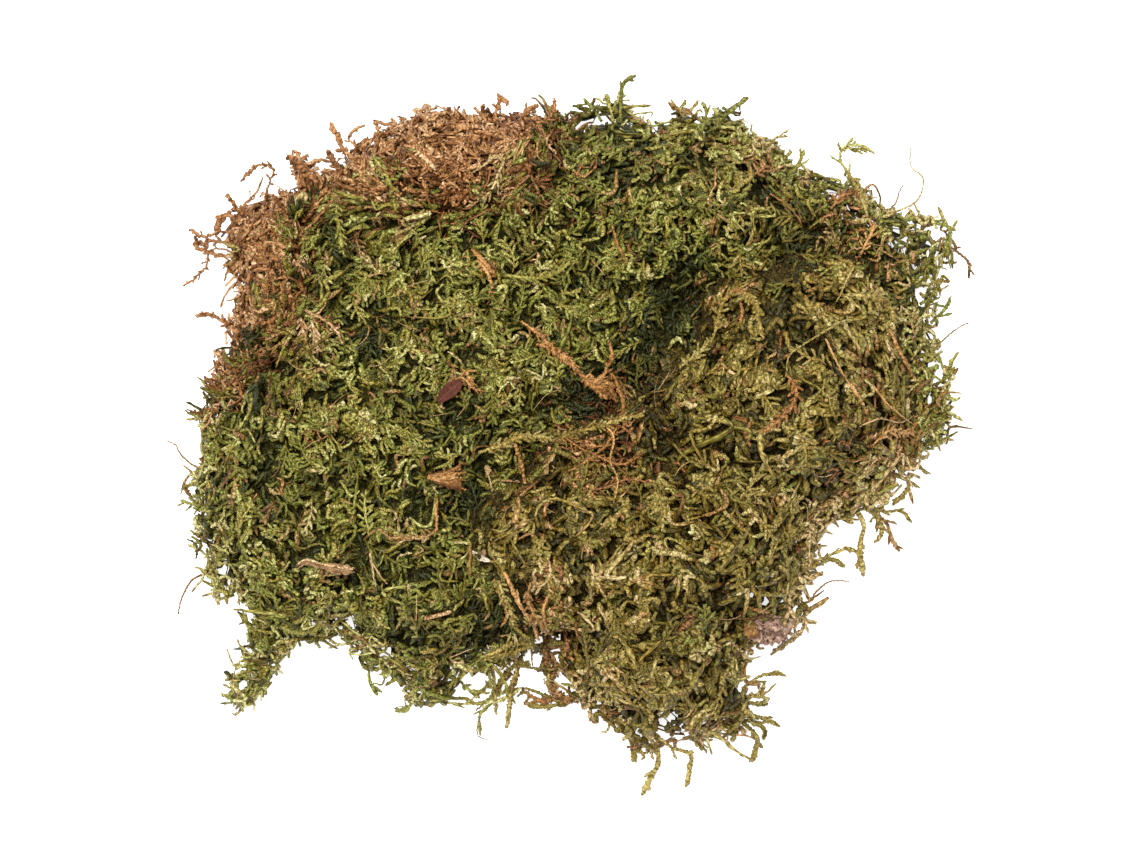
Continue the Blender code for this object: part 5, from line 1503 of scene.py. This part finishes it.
def bark_flake(rng):
    """The flake of bark: three overlapping, wavy layers, by plan points, lift, widths and tilt."""
    sets = []
    for points, lift, widths, tilt in (
        (
            [(47.5, -51.5), (51, -51), (55, -51.5), (59, -50.3), (62.6, -50.2)],
            0.7, (4.6, 7.2, 8.2, 6.4, 3.2, 0.6), 0.0,
        ),
        ([(49.6, -49.6), (53, -49.4), (57, -49.8)], 1.5, (2.0, 4.6, 4.9, 2.6), 0.3),
        ([(55.4, -51.6), (57.2, -53.4), (58.6, -54.9)], 1.1, (3.6, 3.8, 2.4), -0.2),
    ):
        line = draped(points, lift * MM, 0.5 * MM, 0.2 * MM)
        line[:, 2] += 0.35 * MM * np.sin(distances(line) / (1.1 * MM) + lift * 5)
        tilted = unit(upward(line) + np.array([0, tilt, 0]))
        sets.append(blade(line, tilted, widths, 0.5, rng, 14, 0.12, 0.07 * MM, 0.2, 0.2, 0.35 * MM))
    bark = mesh_object("bark_flake_layered", *joined(sets)[:2])
    tones = [srgb(58, 34, 24), srgb(128, 98, 82), srgb(160, 130, 112), srgb(216, 186, 162)]
    bark.data.materials.append(grained_material("bark", tones, 1.8 * MM, 0.8))
    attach(bark, "root")
    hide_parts("bark_flake")


def bark_fragments(rng):
    """The flake's broken end and fibres, and a pale chip on it."""
    line = draped([(46.6, -51.5), (48.2, -51), (50.2, -50.6)], 1.2 * MM, 0.35 * MM, 0.2 * MM)
    sets = [blade(line, upward(line), (3.4, 5.2, 3.0), 0.55, rng, 12, 0.5, 0.2 * MM, 0.3)]
    for k, points in enumerate((
        [(47.4, -48.4), (51, -47.4), (54.6, -48.2), (57.6, -48)],
        [(51.6, -52.6), (54, -54.4), (57, -53.2), (58.4, -55)],
        [(49.6, -50.8), (51.2, -52.4), (53.6, -51.6), (56, -52.2), (58.8, -50.6)],
    )):
        line = draped(points, 1.5 * MM, 0.35 * MM, 0.2 * MM)
        sets.append(strand(line, 0.3 * MM, 0.03 + 0.08 * k, rng, WIRY, 4, 0.12 * MM))
    piece("bark_flake_broken_end", sets, "rust")
    line = draped([(52.2, -49.4), (53.8, -50.1), (55.6, -50.2)], 2.1 * MM, 0.35 * MM, 0.2 * MM)
    chip = blade(line, upward(line), (0.6, 1.7, 1.2), 0.35, rng, 8, 0.2, 0.1 * MM, 0.3)
    piece("bark_flake_chip", [chip], "pale")


litter_rng = np.random.default_rng(LITTER_SEED)
for make in (
    dead_frond, cone_scale, bud_scale, withered_shoot, bit_of_straw, pale_flake, bark_flake, bark_fragments,
):
    make(litter_rng)

# ---------------------------------------------------------------- studio


def studio():
    """Camera straight above, a large soft light, a pale floor. The camera takes in `view_width` at the height
    `focus_height`."""
    lens, sensor_width, view_width, focus_height = 100, 36, 0.308, 8 * MM
    centre_x, centre_y = 0.4 * MM, 2.7 * MM
    floor_reach, floor_glow, sky_strength = 3, 0.74, 0.64
    scene = bpy.context.scene
    scene.view_settings.view_transform = "Standard"
    data = bpy.data.cameras.new("camera")
    data.lens = lens
    data.sensor_width = sensor_width
    camera = add_object("camera", data)
    camera.location = (centre_x, centre_y, view_width * lens / sensor_width + focus_height)
    scene.camera = camera

    light = bpy.data.lights.new("softbox", "AREA")
    light.shape = "DISK"
    light.size = 0.6
    light.energy = 19
    lamp = add_object("softbox", light)
    lamp.location = (-0.16, 0.26, 1.25)
    lamp.rotation_euler = (-lamp.location).to_track_quat("-Z", "Y").to_euler()

    scene.world = bpy.data.worlds.new("studio")
    scene.world.use_nodes = True
    background = scene.world.node_tree.nodes["Background"]
    background.inputs["Color"].default_value = (1, 1, 1, 1)
    background.inputs["Strength"].default_value = sky_strength

    points = np.array([(-1, -1, 0), (1, -1, 0), (1, 1, 0), (-1, 1, 0)], float) * floor_reach
    floor = mesh_object("floor", points, np.array([(0, 1, 2), (0, 2, 3)]))
    floor.location.z = -FLOOR_GAP
    paper = [(0.89, 0.89, 0.89), (0.91, 0.91, 0.91)]
    floor.data.materials.append(grained_material("floor", paper, 50 * MM, 0.8, 0.01 * MM, glow=floor_glow))


studio()
